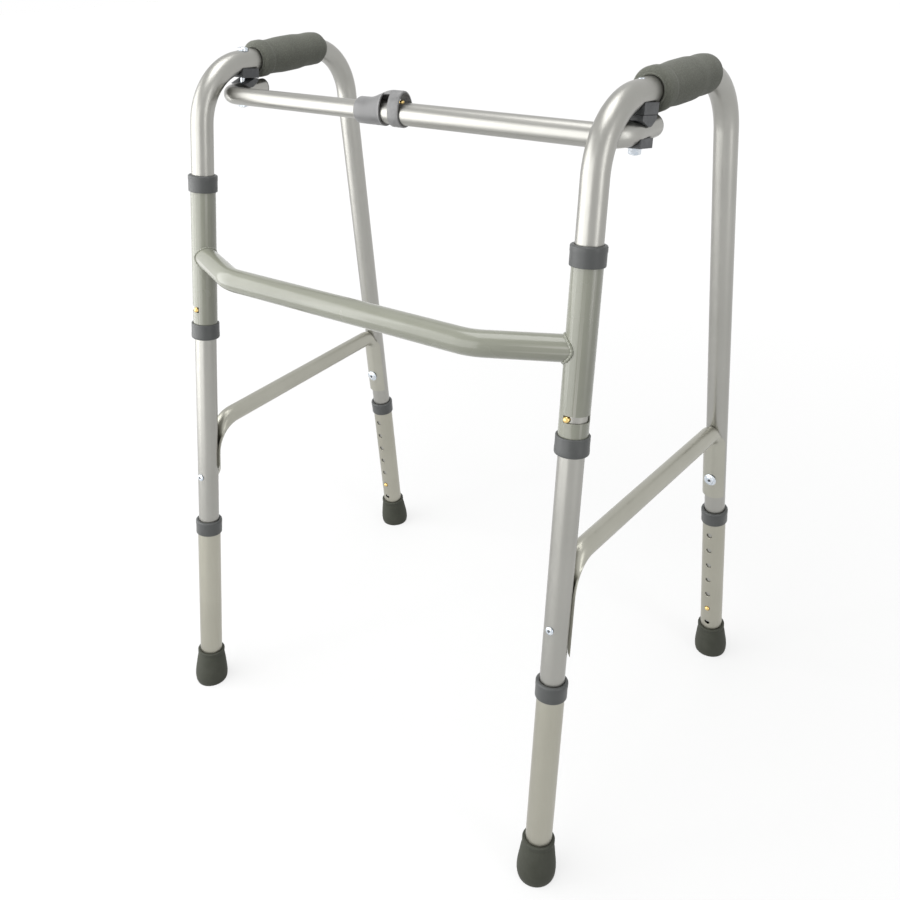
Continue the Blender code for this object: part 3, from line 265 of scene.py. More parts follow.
def even(start, end, steps):
    """Even steps from a start to an end, both included."""
    return [start + (end - start) * k / steps for k in range(steps + 1)]


def bend(corner, arriving, leaving, radius, step=BEND_STEP):
    """Points of a bend at a corner. Both directions point along the path."""
    cross = arriving.x * leaving.y - arriving.y * leaving.x
    turn = atan2(cross, arriving.dot(leaving))
    start = corner - arriving * radius * tan(abs(turn) / 2)
    inwards = Vector((-arriving.y, arriving.x)) * (1 if turn > 0 else -1)
    centre = start + inwards * radius
    parts = even(0, turn, max(2, round(abs(turn) / step)))
    return [centre + Matrix.Rotation(part, 2) @ (start - centre) for part in parts]


TO_PLANE = PLANES["right"].inverted()
FRONT_UP = plane_direction("front")
REAR_UP = plane_direction("rear")
REAR_BASE = Vector(((TO_PLANE @ FEET["right_rear_foot_face"]).x, 0))
RAIL = Vector((1, RAIL_SLOPE)).normalized()
FRONT_CORNER = FRONT_UP * RAIL_HEIGHT / FRONT_UP.y
REAR_CORNER = meet(FRONT_CORNER, RAIL, REAR_BASE, REAR_UP)
FRONT_ARC = bend(FRONT_CORNER, FRONT_UP, RAIL, FRONT_BEND)
REAR_ARC = bend(REAR_CORNER, RAIL, -REAR_UP, REAR_BEND)


def pivot_frame(name):
    """The crossbar pivot: its origin is on the rail's centre line and Z runs up the bolt."""
    place = Vector(JOINTS["crossbar_turn"]["pos_m"])
    made = LEGS[name, "front"].copy()
    made.translation = Vector((abs(place.x) * SIDES[name], place.y, place.z))
    return made


PIVOTS = {name: pivot_frame(name) for name in SIDES}
SADDLE_FLOOR = {name: -PIVOT_DROP - BAR_RADIUS[name] - TOUCH - LOWER_WALL for name in SIDES}
PIVOT_S = (TO_PLANE @ PIVOTS["right"].translation).x
BAR_END = PIVOTS["right"] @ Vector((0, 0, -PIVOT_DROP))
BAR = Matrix.Translation((0, BAR_END.y - BAR_FORWARD, BAR_END.z))
BAR_SPAN = BAR_FORWARD + BAR_PAST_BOLT
ALONG_X = axes((0, 0, 0), (0, 1, 0), UP, (1, 0, 0))
RELEASE_X = sum(corner.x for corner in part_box("crossbar_release_button")) / 2
RELEASE = BAR @ Matrix.Translation((RELEASE_X, 0, 0))


def on_rail(s):
    return FRONT_CORNER + RAIL * (s - FRONT_CORNER.x) / RAIL.x


def radial(base, height, turn):
    """A frame on a leg's axis whose local Z points outwards. Turn 0 faces the front."""
    out = Vector((sin(turn), -cos(turn), 0))
    return base @ axes((0, 0, height), UP, out.cross(UP), out)


def lifted(points):
    return [(x, y, 0) for x, y in points]


def rows(table, scale, base):
    """Profile points from a table of radii and heights."""
    return [(radius * scale, base + height * MM) for radius, height in table]


def fillet(radius, height, size, start, end, steps=5):
    """Profile points of a round about a centre, angles in degrees from outwards."""
    turns = [radians(turn) for turn in even(start, end, steps)]
    return [(radius + size * cos(turn), height + size * sin(turn)) for turn in turns]


def chamfered(radius, bottom, top, size):
    """Profile points of a pin whose lower edge is broken."""
    edge = [(0, bottom), (radius - size, bottom), (radius, bottom + size)]
    return edge + [(radius, top), (0, top)]


def dome(radius, bottom, rise):
    """Profile points of a dome."""
    return [(radius * cos(turn), bottom + rise * sin(turn)) for turn in even(0, pi / 2, 12)]


def placed(name, data):
    obj = bpy.data.objects.new(name, data)
    bpy.context.scene.collection.objects.link(obj)
    return obj


def mesh_object(name, shape, matrix):
    """An object from a bmesh, its place baked into its mesh and its faces turned outwards."""
    bmesh.ops.remove_doubles(shape, verts=shape.verts, dist=WELD_STEP)
    bmesh.ops.recalc_face_normals(shape, faces=shape.faces)
    shape.transform(matrix)
    mesh = bpy.data.meshes.new(name)
    shape.to_mesh(mesh)
    shape.free()
    return placed(name, mesh)


def final_mesh(obj):
    """The mesh that an object's modifiers or curve settings make."""
    bpy.context.view_layer.update()
    graph = bpy.context.evaluated_depsgraph_get()
    return bpy.data.meshes.new_from_object(obj.evaluated_get(graph))


def baked(source, name, matrix):
    """An object's final mesh as a new object."""
    made = final_mesh(source)
    bpy.data.objects.remove(source, do_unlink=True)
    shape = bmesh.new()
    shape.from_mesh(made)
    bpy.data.meshes.remove(made)
    return mesh_object(name, shape, matrix)


def turned(name, profile, matrix, sides=FINE, closed=False):
    """A profile of (radius, height) points turned about the local Z axis."""
    outline = bpy.data.meshes.new(name)
    last = len(profile) - 1
    edges = [(k, k + 1) for k in range(last)] + ([(last, 0)] if closed else [])
    outline.from_pydata([(radius, 0, height) for radius, height in profile], edges, [])
    source = placed(name, outline)
    screw = source.modifiers.new("turn", "SCREW")
    screw.angle = 2 * pi
    screw.steps = screw.render_steps = sides
    screw.use_merge_vertices = True
    screw.merge_threshold = WELD_STEP
    return baked(source, name, matrix)


def rod(name, radius, bottom, top, matrix, sides=SMALL):
    shape = bmesh.new()
    size = {"radius1": radius, "radius2": radius, "depth": top - bottom, "segments": sides}
    middle = Matrix.Translation((0, 0, (bottom + top) / 2))
    bmesh.ops.create_cone(shape, cap_ends=True, matrix=middle, **size)
    return mesh_object(name, shape, matrix)


def block(name, low, high, matrix):
    shape = bmesh.new()
    low, high = Vector(low), Vector(high)
    size = Matrix.Diagonal((*(high - low), 1))
    bmesh.ops.create_cube(shape, size=1, matrix=Matrix.Translation((low + high) / 2) @ size)
    return mesh_object(name, shape, matrix)


def polyline(name, points, dimensions):
    """A curve through points, and its only spline."""
    curve = bpy.data.curves.new(name, "CURVE")
    curve.dimensions = dimensions
    spline = curve.splines.new("POLY")
    spline.points.add(len(points) - 1)
    for spot, point in zip(spline.points, points):
        spot.co = (*point, 1)
    return curve, spline


def sweep(name, points, radius, matrix, sides=FINE, radii=(), caps=True):
    """A round bar along a path, or its open skin."""
    curve, spline = polyline(name, points, "3D")
    curve.bevel_depth = radius
    curve.bevel_resolution = sides // 2 - 2
    curve.use_fill_caps = caps
    for spot, here in zip(spline.points, radii):
        spot.radius = here / radius
    return baked(placed(name, curve), name, matrix)


def tube(name, points, radius, wall, matrix):
    """A hollow tube along a path, open at both ends."""
    obj = sweep(name, points, radius, matrix, caps=False)
    shell = obj.modifiers.new("wall", "SOLIDIFY")
    shell.thickness = wall
    shell.offset = -1
    shell.use_even_offset = True
    return obj


def flat(name, outline, thickness, matrix):
    """A flat outline in the local XY plane, as thick as given about it."""
    curve, spline = polyline(name, lifted(outline), "2D")
    curve.fill_mode = "BOTH"
    curve.extrude = thickness / 2
    spline.use_cyclic_u = True
    return baked(placed(name, curve), name, matrix)


def loft(name, sections, matrix):
    """A solid through closed sections of as many points each."""
    shape = bmesh.new()
    rings = [[shape.verts.new(point) for point in section] for section in sections]
    for first, second in zip(rings, rings[1:]):
        for k in range(len(first)):
            after = (k + 1) % len(first)
            shape.faces.new((first[k], first[after], second[after], second[k]))
    shape.faces.new(rings[0])
    shape.faces.new(rings[-1])
    return mesh_object(name, shape, matrix)


def cut(obj, tool, operation="DIFFERENCE"):
    """Cuts or joins at once, and removes the tool."""
    change = obj.modifiers.new(tool.name, "BOOLEAN")
    change.operation = operation
    change.solver = "EXACT"
    change.object = tool
    made = final_mesh(obj)
    obj.modifiers.clear()
    obj.data = made
    bpy.data.objects.remove(tool, do_unlink=True)


def add(obj, node, look, smooth=32, bevel=0.0, segments=2):
    """Finishes a fine piece, which moves with a solid's body."""
    obj.data.materials.clear()
    obj.data.materials.append(look)
    obj.data.shade_smooth()
    obj.data.set_sharp_from_angle(angle=radians(smooth))
    if bevel:
        edge = obj.modifiers.new("edge", "BEVEL")
        edge.width = bevel
        edge.segments = segments
        edge.limit_method = "ANGLE"
        edge.angle_limit = radians(smooth)
        edge.harden_normals = True
    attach(obj, BODY[node])
    return obj


def show(obj, node, *finish):
    """Finishes a fine piece that stands for a solid."""
    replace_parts(add(obj, node, *finish), node)


def shade(value):
    """A colour with its alpha, from a grey or a colour. Anything else stays as it is."""
    if isinstance(value, tuple):
        return (*value, 1)
    return (value, value, value, 1) if isinstance(value, (int, float)) else value


class Nodes:
    """Short calls for a node tree. Patterns are fixed to the object."""

    def __init__(self, owner):
        owner.use_nodes = True
        self.look = owner
        self.tree = owner.node_tree

    def fill(self, node, values):
        """Gives inputs plain values, or links them to outputs or to a node's first output."""
        for key, value in values.items():
            if isinstance(value, bpy.types.Node):
                value = value.outputs[0]
            if isinstance(value, bpy.types.NodeSocket):
                self.tree.links.new(value, node.inputs[key])
            else:
                node.inputs[key].default_value = value
        return node

    def make(self, kind, values=None):
        return self.fill(self.tree.nodes.new("ShaderNode" + kind), values or {})

    def place(self):
        return self.make("TexCoord").outputs["Object"]

    def noise(self, scale, detail=3.0, stretch=(1, 1, 1), rough=0.55):
        """A noise from 0 to 1, with its features longer where stretch is small."""
        spread = self.make("Mapping", {"Vector": self.place(), "Scale": stretch})
        made = self.make("TexNoise", {"Vector": spread, "Scale": scale})
        return self.fill(made, {"Detail": detail, "Roughness": rough}).outputs["Fac"]

    def cells(self, scale):
        made = self.make("TexVoronoi", {"Vector": self.place(), "Scale": scale})
        return made.outputs["Distance"]

    def ramp(self, value, stops):
        """Colours or greys at places from 0 to 1."""
        made = self.make("ValToRGB", {"Fac": value})
        ends = made.color_ramp.elements
        while len(ends) < len(stops):
            ends.new(0.5)
        for end, (where, color) in zip(ends, stops):
            end.position = where
            end.color = shade(color)
        return made

    def span(self, value, low, high, start=0.3, end=0.7):
        """A value spread between two others."""
        limits = {"From Min": start, "From Max": end, "To Min": low, "To Max": high}
        return self.make("MapRange", {"Value": value, **limits})

    def sum(self, first, second, share):
        """The first value plus a share of the second."""
        made = self.make("Math", {0: second, 1: share, 2: first})
        made.operation = "MULTIPLY_ADD"
        return made

    def mix(self, share, first, second):
        """A colour or grey between two others."""
        made = self.make("Mix")
        made.data_type = "RGBA"
        return self.fill(made, {0: share, 6: shade(first), 7: shade(second)}).outputs[2]

    def edges(self, low=0.52, high=0.6):
        """1 along a piece's outer edges and 0 on its faces."""
        found = self.make("NewGeometry").outputs["Pointiness"]
        return self.span(found, 0.0, 1.0, low, high)

    def white_rays(self):
        """1 for the rays that show the background, also in metal and in clear things."""
        rays = self.make("LightPath").outputs
        total = rays["Is Camera Ray"]
        for key in ("Is Glossy Ray", "Is Transmission Ray"):
            total = self.make("Math", {0: total, 1: rays[key]})
            total.operation = "MAXIMUM"
        return total

    def finish(self, shader, tone, rough, relief, depth):
        """Links a shader to its patterns, and hands the material over."""
        bump = self.make("Bump", {"Height": relief, "Distance": depth, "Strength": 1.0})
        self.fill(shader, {"Base Color": tone, "Roughness": rough, "Normal": bump})
        return self.look


def material(name, color, roughness, metallic=0.0, **more):
    """A material's nodes and its shader with plain values."""
    made = Nodes(bpy.data.materials.new(name))
    values = {"Base Color": shade(color), "Roughness": roughness, "Metallic": metallic, **more}
    return made, made.fill(made.tree.nodes["Principled BSDF"], values)


def anodised(name, light, dark, grain, rough=(0.27, 0.36)):
    """Drawn tube with an anodised skin: long faint draw lines, fine grain and light scuffs."""
    made, shader = material(name, light, sum(rough) / 2, 1.0)
    lines = made.noise(420.0, 2.0, grain)
    scuff = made.noise(55.0, 6.0, tuple(0.35 + 0.65 * part for part in grain), 0.7)
    tone = made.ramp(made.noise(9.0, 4.0), ((0.3, dark), (0.7, light)))
    worn = made.ramp(scuff, ((0.66, 0.0), (0.74, 1.0)))
    tone = made.mix(worn, tone, tuple(min(1.0, part * 1.08) for part in light))
    sheen = made.sum(made.span(lines, *rough), scuff, 0.06)
    relief = made.sum(lines, made.noise(1500.0, 2.0), 0.6)
    return made.finish(shader, tone, sheen, relief, 0.02 * MM)


def enamel():
    """Thick stove enamel, slightly wavy, thinner and paler on edges and seams."""
    coat = {"Coat Weight": 0.45, "Coat Roughness": 0.08}
    made, shader = material("grey_enamel", (0.245, 0.252, 0.202), 0.25, **coat)
    cloud = made.noise(14.0)
    tone = made.ramp(cloud, ((0.3, (0.225, 0.232, 0.184)), (0.7, (0.262, 0.27, 0.217))))
    tone = made.mix(made.edges(0.53, 0.66), tone, (0.38, 0.38, 0.33))
    speck = made.ramp(made.cells(260.0), ((0.035, 1.0), (0.06, 0.0)))
    tone = made.mix(speck, tone, (0.2, 0.21, 0.17))
    relief = made.sum(made.noise(160.0, 2.0), made.noise(38.0, 2.0), 1.5)
    return made.finish(shader, tone, made.span(cloud, 0.2, 0.3), relief, 0.05 * MM)


def moulded(name, color, rough, grain=900.0, wear=0.35):
    """Moulded plastic: fine spark-eroded grain, rubbed paler along its edges."""
    made, shader = material(name, color, rough)
    cloud = made.noise(60.0, 5.0)
    deep = tuple(part * 0.86 for part in color)
    pale = tuple(part + (0.5 - part) * wear for part in color)
    tone = made.ramp(cloud, ((0.3, deep), (0.7, color)))
    rubbed = made.mix(made.edges(), 0.0, made.ramp(made.noise(240.0), ((0.35, 0.2), (0.6, 1.0))))
    sheen = made.span(cloud, rough - 0.05, rough + 0.07)
    tone = made.mix(rubbed, tone, pale)
    return made.finish(shader, tone, sheen, made.noise(grain, 2.0), 0.04 * MM)


def rubber():
    """Dusty moulded rubber with a fine matt grain."""
    dull = {"Specular IOR Level": 0.35}
    made, shader = material("grey_rubber", (0.038, 0.04, 0.029), 0.75, **dull)
    dust = made.noise(45.0, 6.0, rough=0.65)
    tone = made.ramp(dust, ((0.35, (0.042, 0.045, 0.033)), (0.72, (0.068, 0.071, 0.057))))
    tone = made.mix(made.edges(0.52, 0.62), tone, (0.09, 0.093, 0.08))
    relief = made.sum(made.noise(650.0), made.noise(120.0), 0.8)
    return made.finish(shader, tone, made.span(dust, 0.62, 0.85), relief, 0.08 * MM)


def foam():
    """Closed-cell foam: a skin of tiny cells, paler where it is rubbed."""
    skin = {"Sheen Weight": 0.1, "Sheen Roughness": 0.5, "Specular IOR Level": 0.3}
    made, shader = material("grey_foam", (0.105, 0.11, 0.092), 0.9, **skin)
    cell = made.cells(620.0)
    patch = made.noise(28.0, 5.0)
    tone = made.ramp(patch, ((0.3, (0.118, 0.123, 0.102)), (0.72, (0.155, 0.161, 0.135))))
    pit = made.ramp(cell, ((0.0, 1.0), (0.35, 0.35), (0.6, 0.0)))
    tone = made.mix(pit, tone, (0.19, 0.196, 0.168))
    speck = made.ramp(made.noise(1300.0, 2.0), ((0.55, 0.0), (0.75, 0.6)))
    tone = made.mix(speck, tone, (0.06, 0.063, 0.055))
    relief = made.sum(cell, made.noise(300.0, 4.0), 0.7)
    return made.finish(shader, tone, made.span(patch, 0.82, 0.95), relief, 0.16 * MM)


def plated(name, bright, tint, rough):
    """Plated steel: a clouded passivated skin with fine turning marks."""
    made, shader = material(name, bright, rough, 1.0)
    cloud = made.noise(320.0, 4.0)
    tone = made.ramp(cloud, ((0.3, tint), (0.65, bright)))
    sheen = made.span(cloud, rough - 0.07, rough + 0.1)
    return made.finish(shader, tone, sheen, made.noise(1400.0), 0.02 * MM)


LEG_GRAIN = (1.0, 1.0, 0.02)
BAR_GRAIN = (0.02, 1.0, 1.0)
BRACE_GRAIN = (1.0, 0.05, 1.0)
SILVER = (0.362, 0.358, 0.335)
PEARL = (0.4, 0.39, 0.334)
WARM = (0.405, 0.4, 0.35)
ALUMINIUM = anodised("satin_aluminium", SILVER, (0.325, 0.322, 0.3), LEG_GRAIN)
BAR_ALUMINIUM = anodised("bar_aluminium", SILVER, (0.335, 0.332, 0.312), BAR_GRAIN)
CHAMPAGNE = anodised("champagne_aluminium", PEARL, (0.354, 0.345, 0.292), LEG_GRAIN, (0.3, 0.4))
WARM_ALUMINIUM = anodised("brace_aluminium", WARM, (0.36, 0.355, 0.308), BRACE_GRAIN)
ENAMEL = enamel()
DARK_PLASTIC = moulded("dark_grey_plastic", (0.08, 0.084, 0.083), 0.42)
SADDLE_PLASTIC = moulded("saddle_plastic", (0.052, 0.056, 0.06), 0.45, 900.0, 0.08)
COLLAR_PLASTIC = moulded("collar_plastic", (0.2, 0.2, 0.2), 0.33, 700.0, 0.12)
RUBBER = rubber()
FOAM = foam()
ZINC = plated("zinc_steel", (0.66, 0.69, 0.72), (0.5, 0.56, 0.63), 0.24)
BRASS = plated("brass", (0.83, 0.62, 0.26), (0.68, 0.46, 0.16), 0.2)
SPRING_STEEL = plated("spring_steel", (0.5, 0.5, 0.52), (0.4, 0.41, 0.44), 0.35)
# Near-black painted shade for the rivet's hole and the bolt's socket, where the real hollows are only in shadow.
PAINTED_SHADE = moulded("recess_painted_shade", (0.02, 0.02, 0.02), 0.7)


def rail_walk(start, length, shares):
    """Points of the rail and its rear bend at shares of a length from a start."""
    line = [on_rail(start)] + REAR_ARC + [REAR_ARC[-1] - REAR_UP * length]
    points = []
    for share in shares:
        left = length * share
        for first, second in zip(line, line[1:]):
            step = (second - first).length
            if left <= step:
                break
            left -= step
        points.append(first.lerp(second, left / step))
    return points


def drill(obj, place, height, turn, radius, start, end):
    cut(obj, rod("hole", radius, start, end, radial(place, height, turn)))


def bore(obj, name, low, high):
    """The hole for a pivot bolt."""
    cut(obj, rod("bore", PIVOT_BOLT + TOUCH, low, high, PIVOTS[name]))


def outer_tube(name, low, high, place):
    section = [(OUTER_BORE, low), (OUTER_RADIUS, low), (OUTER_RADIUS, high), (OUTER_BORE, high)]
    return turned(name, section, place, closed=True)


def broken_hole(obj, place, height, turn):
    """A hole with its edge broken, cut at once and turned off the tube's edges."""
    wide = HOLE_RADIUS + RIM_WIDTH
    inner, outer = OUTER_RADIUS * 0.5, OUTER_RADIUS * 1.3
    profile = [(0, inner), (HOLE_RADIUS, inner), (HOLE_RADIUS, OUTER_RADIUS - RIM_DEPTH)]
    profile += [(wide, OUTER_RADIUS + RIM_DEPTH), (wide, outer), (0, outer)]
    place = radial(place, height, turn + OFF_EDGES) @ Matrix.Rotation(pi / SMALL / 2, 4, "Z")
    cut(obj, turned("broken_hole", profile, place, SMALL))


def bush(name, place, lip_end, upwards):
    """A moulded bush with a rolled lip, a shallow waist and a stepped skirt."""
    skirt = OUTER_RADIUS + TOUCH
    waist = BUSH_RADIUS - BUSH_WAIST
    outer = [(OUTER_BORE, 0.5 * MM), (OUTER_BORE + 0.5 * MM, 0)]
    outer += fillet(BUSH_RADIUS - BUSH_ROLL, BUSH_ROLL, BUSH_ROLL, -90, 0, 8)
    outer += [(BUSH_RADIUS, BUSH_HEIGHT * 0.3), (waist, BUSH_HEIGHT * 0.36)]
    outer += fillet(waist - BUSH_CORNER, BUSH_HEIGHT - BUSH_CORNER, BUSH_CORNER, 0, 90)
    outer += [(skirt + 0.2 * MM, BUSH_HEIGHT), (skirt, BUSH_HEIGHT - 0.3 * MM)]
    outer += [(skirt, BUSH_LIP), (OUTER_BORE, BUSH_LIP)]
    profile = [(radius, lip_end + upwards * height) for radius, height in outer]
    show(turned(f"{name}_moulded", profile, place, closed=True), name, DARK_PLASTIC, 28)


def front_brace():
    """Sleeves with their slots, the bent bar, its weld beads and the bushes."""
    leg = LEGS["right", "front"]
    along = leg.to_3x3() @ UP
    end = leg.translation + along * BRACE_HEIGHT / along.z
    middle = BRACE_STRAIGHT / 2
    corners = [Vector((-middle, -BRACE_BULGE)), Vector((middle, -BRACE_BULGE))]
    left, right = Vector((-end.x, 0)), Vector((end.x, 0))
    across = Vector((1, 0))
    path = [left]
    path += bend(corners[0], (corners[0] - left).normalized(), across, BRACE_BEND, FINE_STEP)
    path += bend(corners[1], across, (right - corners[1]).normalized(), BRACE_BEND, FINE_STEP)
    path = lifted(path + [right])
    place = Matrix.Translation((0, end.y, BRACE_HEIGHT))
    bar = tube("brace_bar_drawn", path, BRACE_RADIUS, BRACE_WALL, place)
    low = SLEEVE_FOOT + BUSH_LIP + TOUCH
    high = SLEEVE_HEAD - BUSH_LIP - TOUCH
    slot_radius = (OUTER_BORE + OUTER_RADIUS) / 2
    over = asin(HOLE_RADIUS / slot_radius)
    for name, side in SIDES.items():
        leg = LEGS[name, "front"]
        cut(bar, rod("cope", OUTER_RADIUS + TOUCH, SLEEVE_FOOT, SLEEVE_HEAD, leg, FINE))
        sleeve = outer_tube(f"{name}_sleeve_enamelled", low, high, leg)
        turns = even(-over, radians(SLOT_TURN) + over, 32)
        arc = [(side * sin(turn) * slot_radius, -cos(turn) * slot_radius, 0) for turn in turns]
        spot = leg @ Matrix.Translation((0, 0, SLEEVE_BUTTON))
        cut(sleeve, sweep("slot", arc, HOLE_RADIUS, spot, SMALL))
        show(sleeve, f"{name}_brace_sleeve", ENAMEL, 40, 0.35 * MM)
        weld(name, leg, [place @ Vector(point) for point in path[::-side][:2]])
        bush(f"{name}_sleeve_top_bush", leg, SLEEVE_HEAD, -1)
        bush(f"{name}_sleeve_bottom_bush", leg, SLEEVE_FOOT, 1)
    show(bar, "brace_bar", ENAMEL, 40, 0.3 * MM)


def weld(name, leg, ends):
    """A bead of overlapping ripples round the brace bar where it meets the sleeve."""
    away = (ends[1] - ends[0]).normalized()
    side_way = away.cross(UP).normalized()
    rise = side_way.cross(away).normalized()
    axis = leg.to_3x3() @ UP
    points, radii = [], []
    for k, turn in enumerate(even(0, 2 * pi, BEAD_STEPS)):
        spoke = side_way * cos(turn) + rise * sin(turn)
        start = ends[0] + spoke * (BRACE_RADIUS + 0.2 * MM)
        gap = start - leg.translation
        flat_gap = gap - axis * gap.dot(axis)
        flat_way = away - axis * away.dot(axis)
        a = flat_way.dot(flat_way)
        b = 2 * flat_gap.dot(flat_way)
        c = flat_gap.dot(flat_gap) - (OUTER_RADIUS + 0.35 * MM) ** 2
        reach = (-b + sqrt(max(0.0, b * b - 4 * a * c))) / (2 * a)
        points.append(start + away * reach)
        radii.append(BEAD_RADIUS * (1 + 0.16 * sin(k * 1.9) + 0.07 * sin(k * 0.7)))
    bead = sweep(f"{name}_weld_bead", points, BEAD_RADIUS, Matrix(), SMALL // 2, radii)
    soft = bead.modifiers.new("soft", "SUBSURF")
    soft.levels = soft.render_levels = 1
    add(bead, f"{name}_brace_sleeve", ENAMEL, 80)


def snap_button(name, place, height, turn):
    """A domed brass button with a fine foot ring."""
    inside = FRAME_RADIUS - FRAME_WALL - BUTTON_STEM
    wide = BUTTON_RADIUS + BUTTON_HEAD
    rise = BUTTON_RADIUS * 0.86
    profile = [(0, inside), (wide, inside), (wide, inside + MM), (BUTTON_RADIUS, inside + MM)]
    profile += dome(BUTTON_RADIUS, OUTER_RADIUS + BUTTON_PROUD - rise, rise)
    show(turned(f"{name}_dome", profile, radial(place, height, turn), SMALL), name, BRASS, 40)


def side_frame(name):
    """The bent tube with its holes, buttons, fasteners, brace, saddle and grip."""
    front, rear = LEGS[name, "front"], LEGS[name, "rear"]
    shank = FASTENER_RADIUS + TOUCH
    line = [FRONT_UP * FRAME_FOOT, FRONT_UP * LEG_MIDDLE] + FRONT_ARC
    line += REAR_ARC + [REAR_BASE + REAR_UP * LEG_MIDDLE, REAR_BASE + REAR_UP * FRAME_FOOT]
    bent = tube(f"{name}_bent_tube", lifted(line), FRAME_RADIUS, FRAME_WALL, PLANES[name])
    far = FRAME_RADIUS + OUTER_WALL
    near = FRAME_RADIUS / 2
    spots = [("front_leg", front, LEG_BUTTON, pi), ("rear_leg", rear, LEG_BUTTON, 0)]
    for spot, leg, height, turn in spots + [("sleeve", front, SLEEVE_BUTTON, 0)]:
        drill(bent, leg, height, turn, HOLE_RADIUS, near, far)
        snap_button(f"{name}_{spot}_button", leg, height, turn)
    drill(bent, front, RIVET_HEIGHT, 0, shank, -far, far)
    drill(bent, rear, BOLT_HEIGHT, 0, shank, near, far)
    bore(bent, name, -CLEAR, CLEAR)
    show(bent, f"{name}_side_tube", ALUMINIUM, 40)
    grip(name)
    side_brace(name)
    upper_saddle(name)
    fasteners(name)


def fasteners(name):
    """The front tail's rivet and the rear shell's flanged bolt, with painted shade: a near-black pin in the
    rivet's hole and a near-black disc at the floor of the bolt's socket.
    """
    shell = FRAME_RADIUS + TOUCH + SHELL + TOUCH
    head = FRAME_RADIUS + TOUCH * 0.8
    spot = radial(LEGS[name, "front"], RIVET_HEIGHT, 0)
    node = f"{name}_brace_front_rivet"
    profile = rows(RIVET_TAIL, RIVET_HEAD, -shell)
    profile += [(FASTENER_RADIUS, -shell), (FASTENER_RADIUS, head)]
    profile += rows(RIVET_DOME, RIVET_HEAD, head)
    show(turned(f"{name}_pop_rivet", profile, spot, SMALL), node, ZINC, 40)
    # Painted shade: the rivet's pin is near-black to stand for the shadow in the rivet's hole.
    shaded_pin = turned(f"{name}_rivet_pin_painted_shade", rows(RIVET_PIN, RIVET_HEAD, head), spot, SMALL // 2)
    add(shaded_pin, node, PAINTED_SHADE, 40)
    spot = radial(LEGS[name, "rear"], BOLT_HEIGHT, 0)
    node = f"{name}_brace_rear_bolt"
    profile = [(0, FRAME_RADIUS / 2), (FASTENER_RADIUS, FRAME_RADIUS / 2), (FASTENER_RADIUS, shell)]
    profile += rows(FLANGE, MM, shell)
    profile += fillet(3.78 * MM, shell + 1.95 * MM, 0.9 * MM, 0, 90) + rows(FLANGE_SOCKET, MM, shell)
    show(turned(f"{name}_flange_bolt", profile, spot), node, ZINC, 35)
    # Painted shade: a near-black disc at the floor of the bolt's socket.
    shade_disc = turned(f"{name}_bolt_socket_painted_shade", rows(FLANGE_SHADE_DISC, MM, shell), spot, SMALL // 2)
    add(shade_disc, node, PAINTED_SHADE, 40)


def eased(start, end, share):
    share = min(1.0, max(0.0, share))
    return start + (end - start) * share * share * (3 - 2 * share)


def grip_radius(share):
    """The grip's radius at a share of its length."""
    for (first, start), (second, end) in zip(GRIP_SHAPE, GRIP_SHAPE[1:]):
        if share <= second:
            return eased(start, end, (share - first) / (second - first)) * MM


def grip(name):
    """A moulded foam sleeve over the rail: rolled lips, hollow necks and a fuller palm."""
    inner = FRAME_RADIUS + TOUCH
    shares = even(0, 1, 120)
    radii = []
    for share in shares:
        radius = grip_radius(share)
        for rest, turn in ((share, GRIP_ROLL), (1 - share, 1.5 * GRIP_ROLL)):
            left = max(0.0, 1 - rest * GRIP_LENGTH / turn)
            radius -= GRIP_ROLL * 0.95 * (1 - sqrt(max(0.0, 1 - left * left)))
        radii.append(max(radius, inner + 1.2 * MM))
    line = rail_walk(GRIP_START, GRIP_LENGTH, shares)
    piece = sweep(f"{name}_foam_sleeve", lifted(line), GRIP_PALM, PLANES[name], FINE, radii)
    path = [on_rail(PIVOT_S)] + REAR_ARC + [REAR_ARC[-1] - REAR_UP * GRIP_START]
    cut(piece, sweep("bore", lifted(path), inner, PLANES[name]))
    show(piece, f"{name}_grip", FOAM, 50)
    lip = fillet(inner + GRIP_FOLD, 0, GRIP_EDGE, 0, 360, 24)[:-1]
    for end, here, along in (("near", line[0], line[1] - line[0]), ("far", line[-1], line[-1] - line[-2])):
        along = Vector((*along, 0)).normalized()
        place = PLANES[name] @ axes((*here, 0), along.cross(UP), UP, along)
        add(turned(f"{name}_grip_{end}_lip", lip, place, closed=True), f"{name}_grip", FOAM, 60)


def trim(piece, place, normal, reach):
    """Cuts a piece's end off along a plane, no farther than a reach from a place on it."""
    shape = bmesh.new()
    shape.from_mesh(piece.data)
    near = [face for face in shape.faces if (face.calc_center_median() - place).length < reach]
    parts = {part for face in near for part in (face, *face.edges, *face.verts)}
    plane = {"plane_co": place, "plane_no": normal, "clear_inner": True}
    done = bmesh.ops.bisect_plane(shape, geom=list(parts), **plane)
    rim = [part for part in done["geom_cut"] if isinstance(part, bmesh.types.BMEdge)]
    bmesh.ops.holes_fill(shape, edges=rim, sides=0)
    bmesh.ops.recalc_face_normals(shape, faces=shape.faces)
    shape.to_mesh(piece.data)
    shape.free()


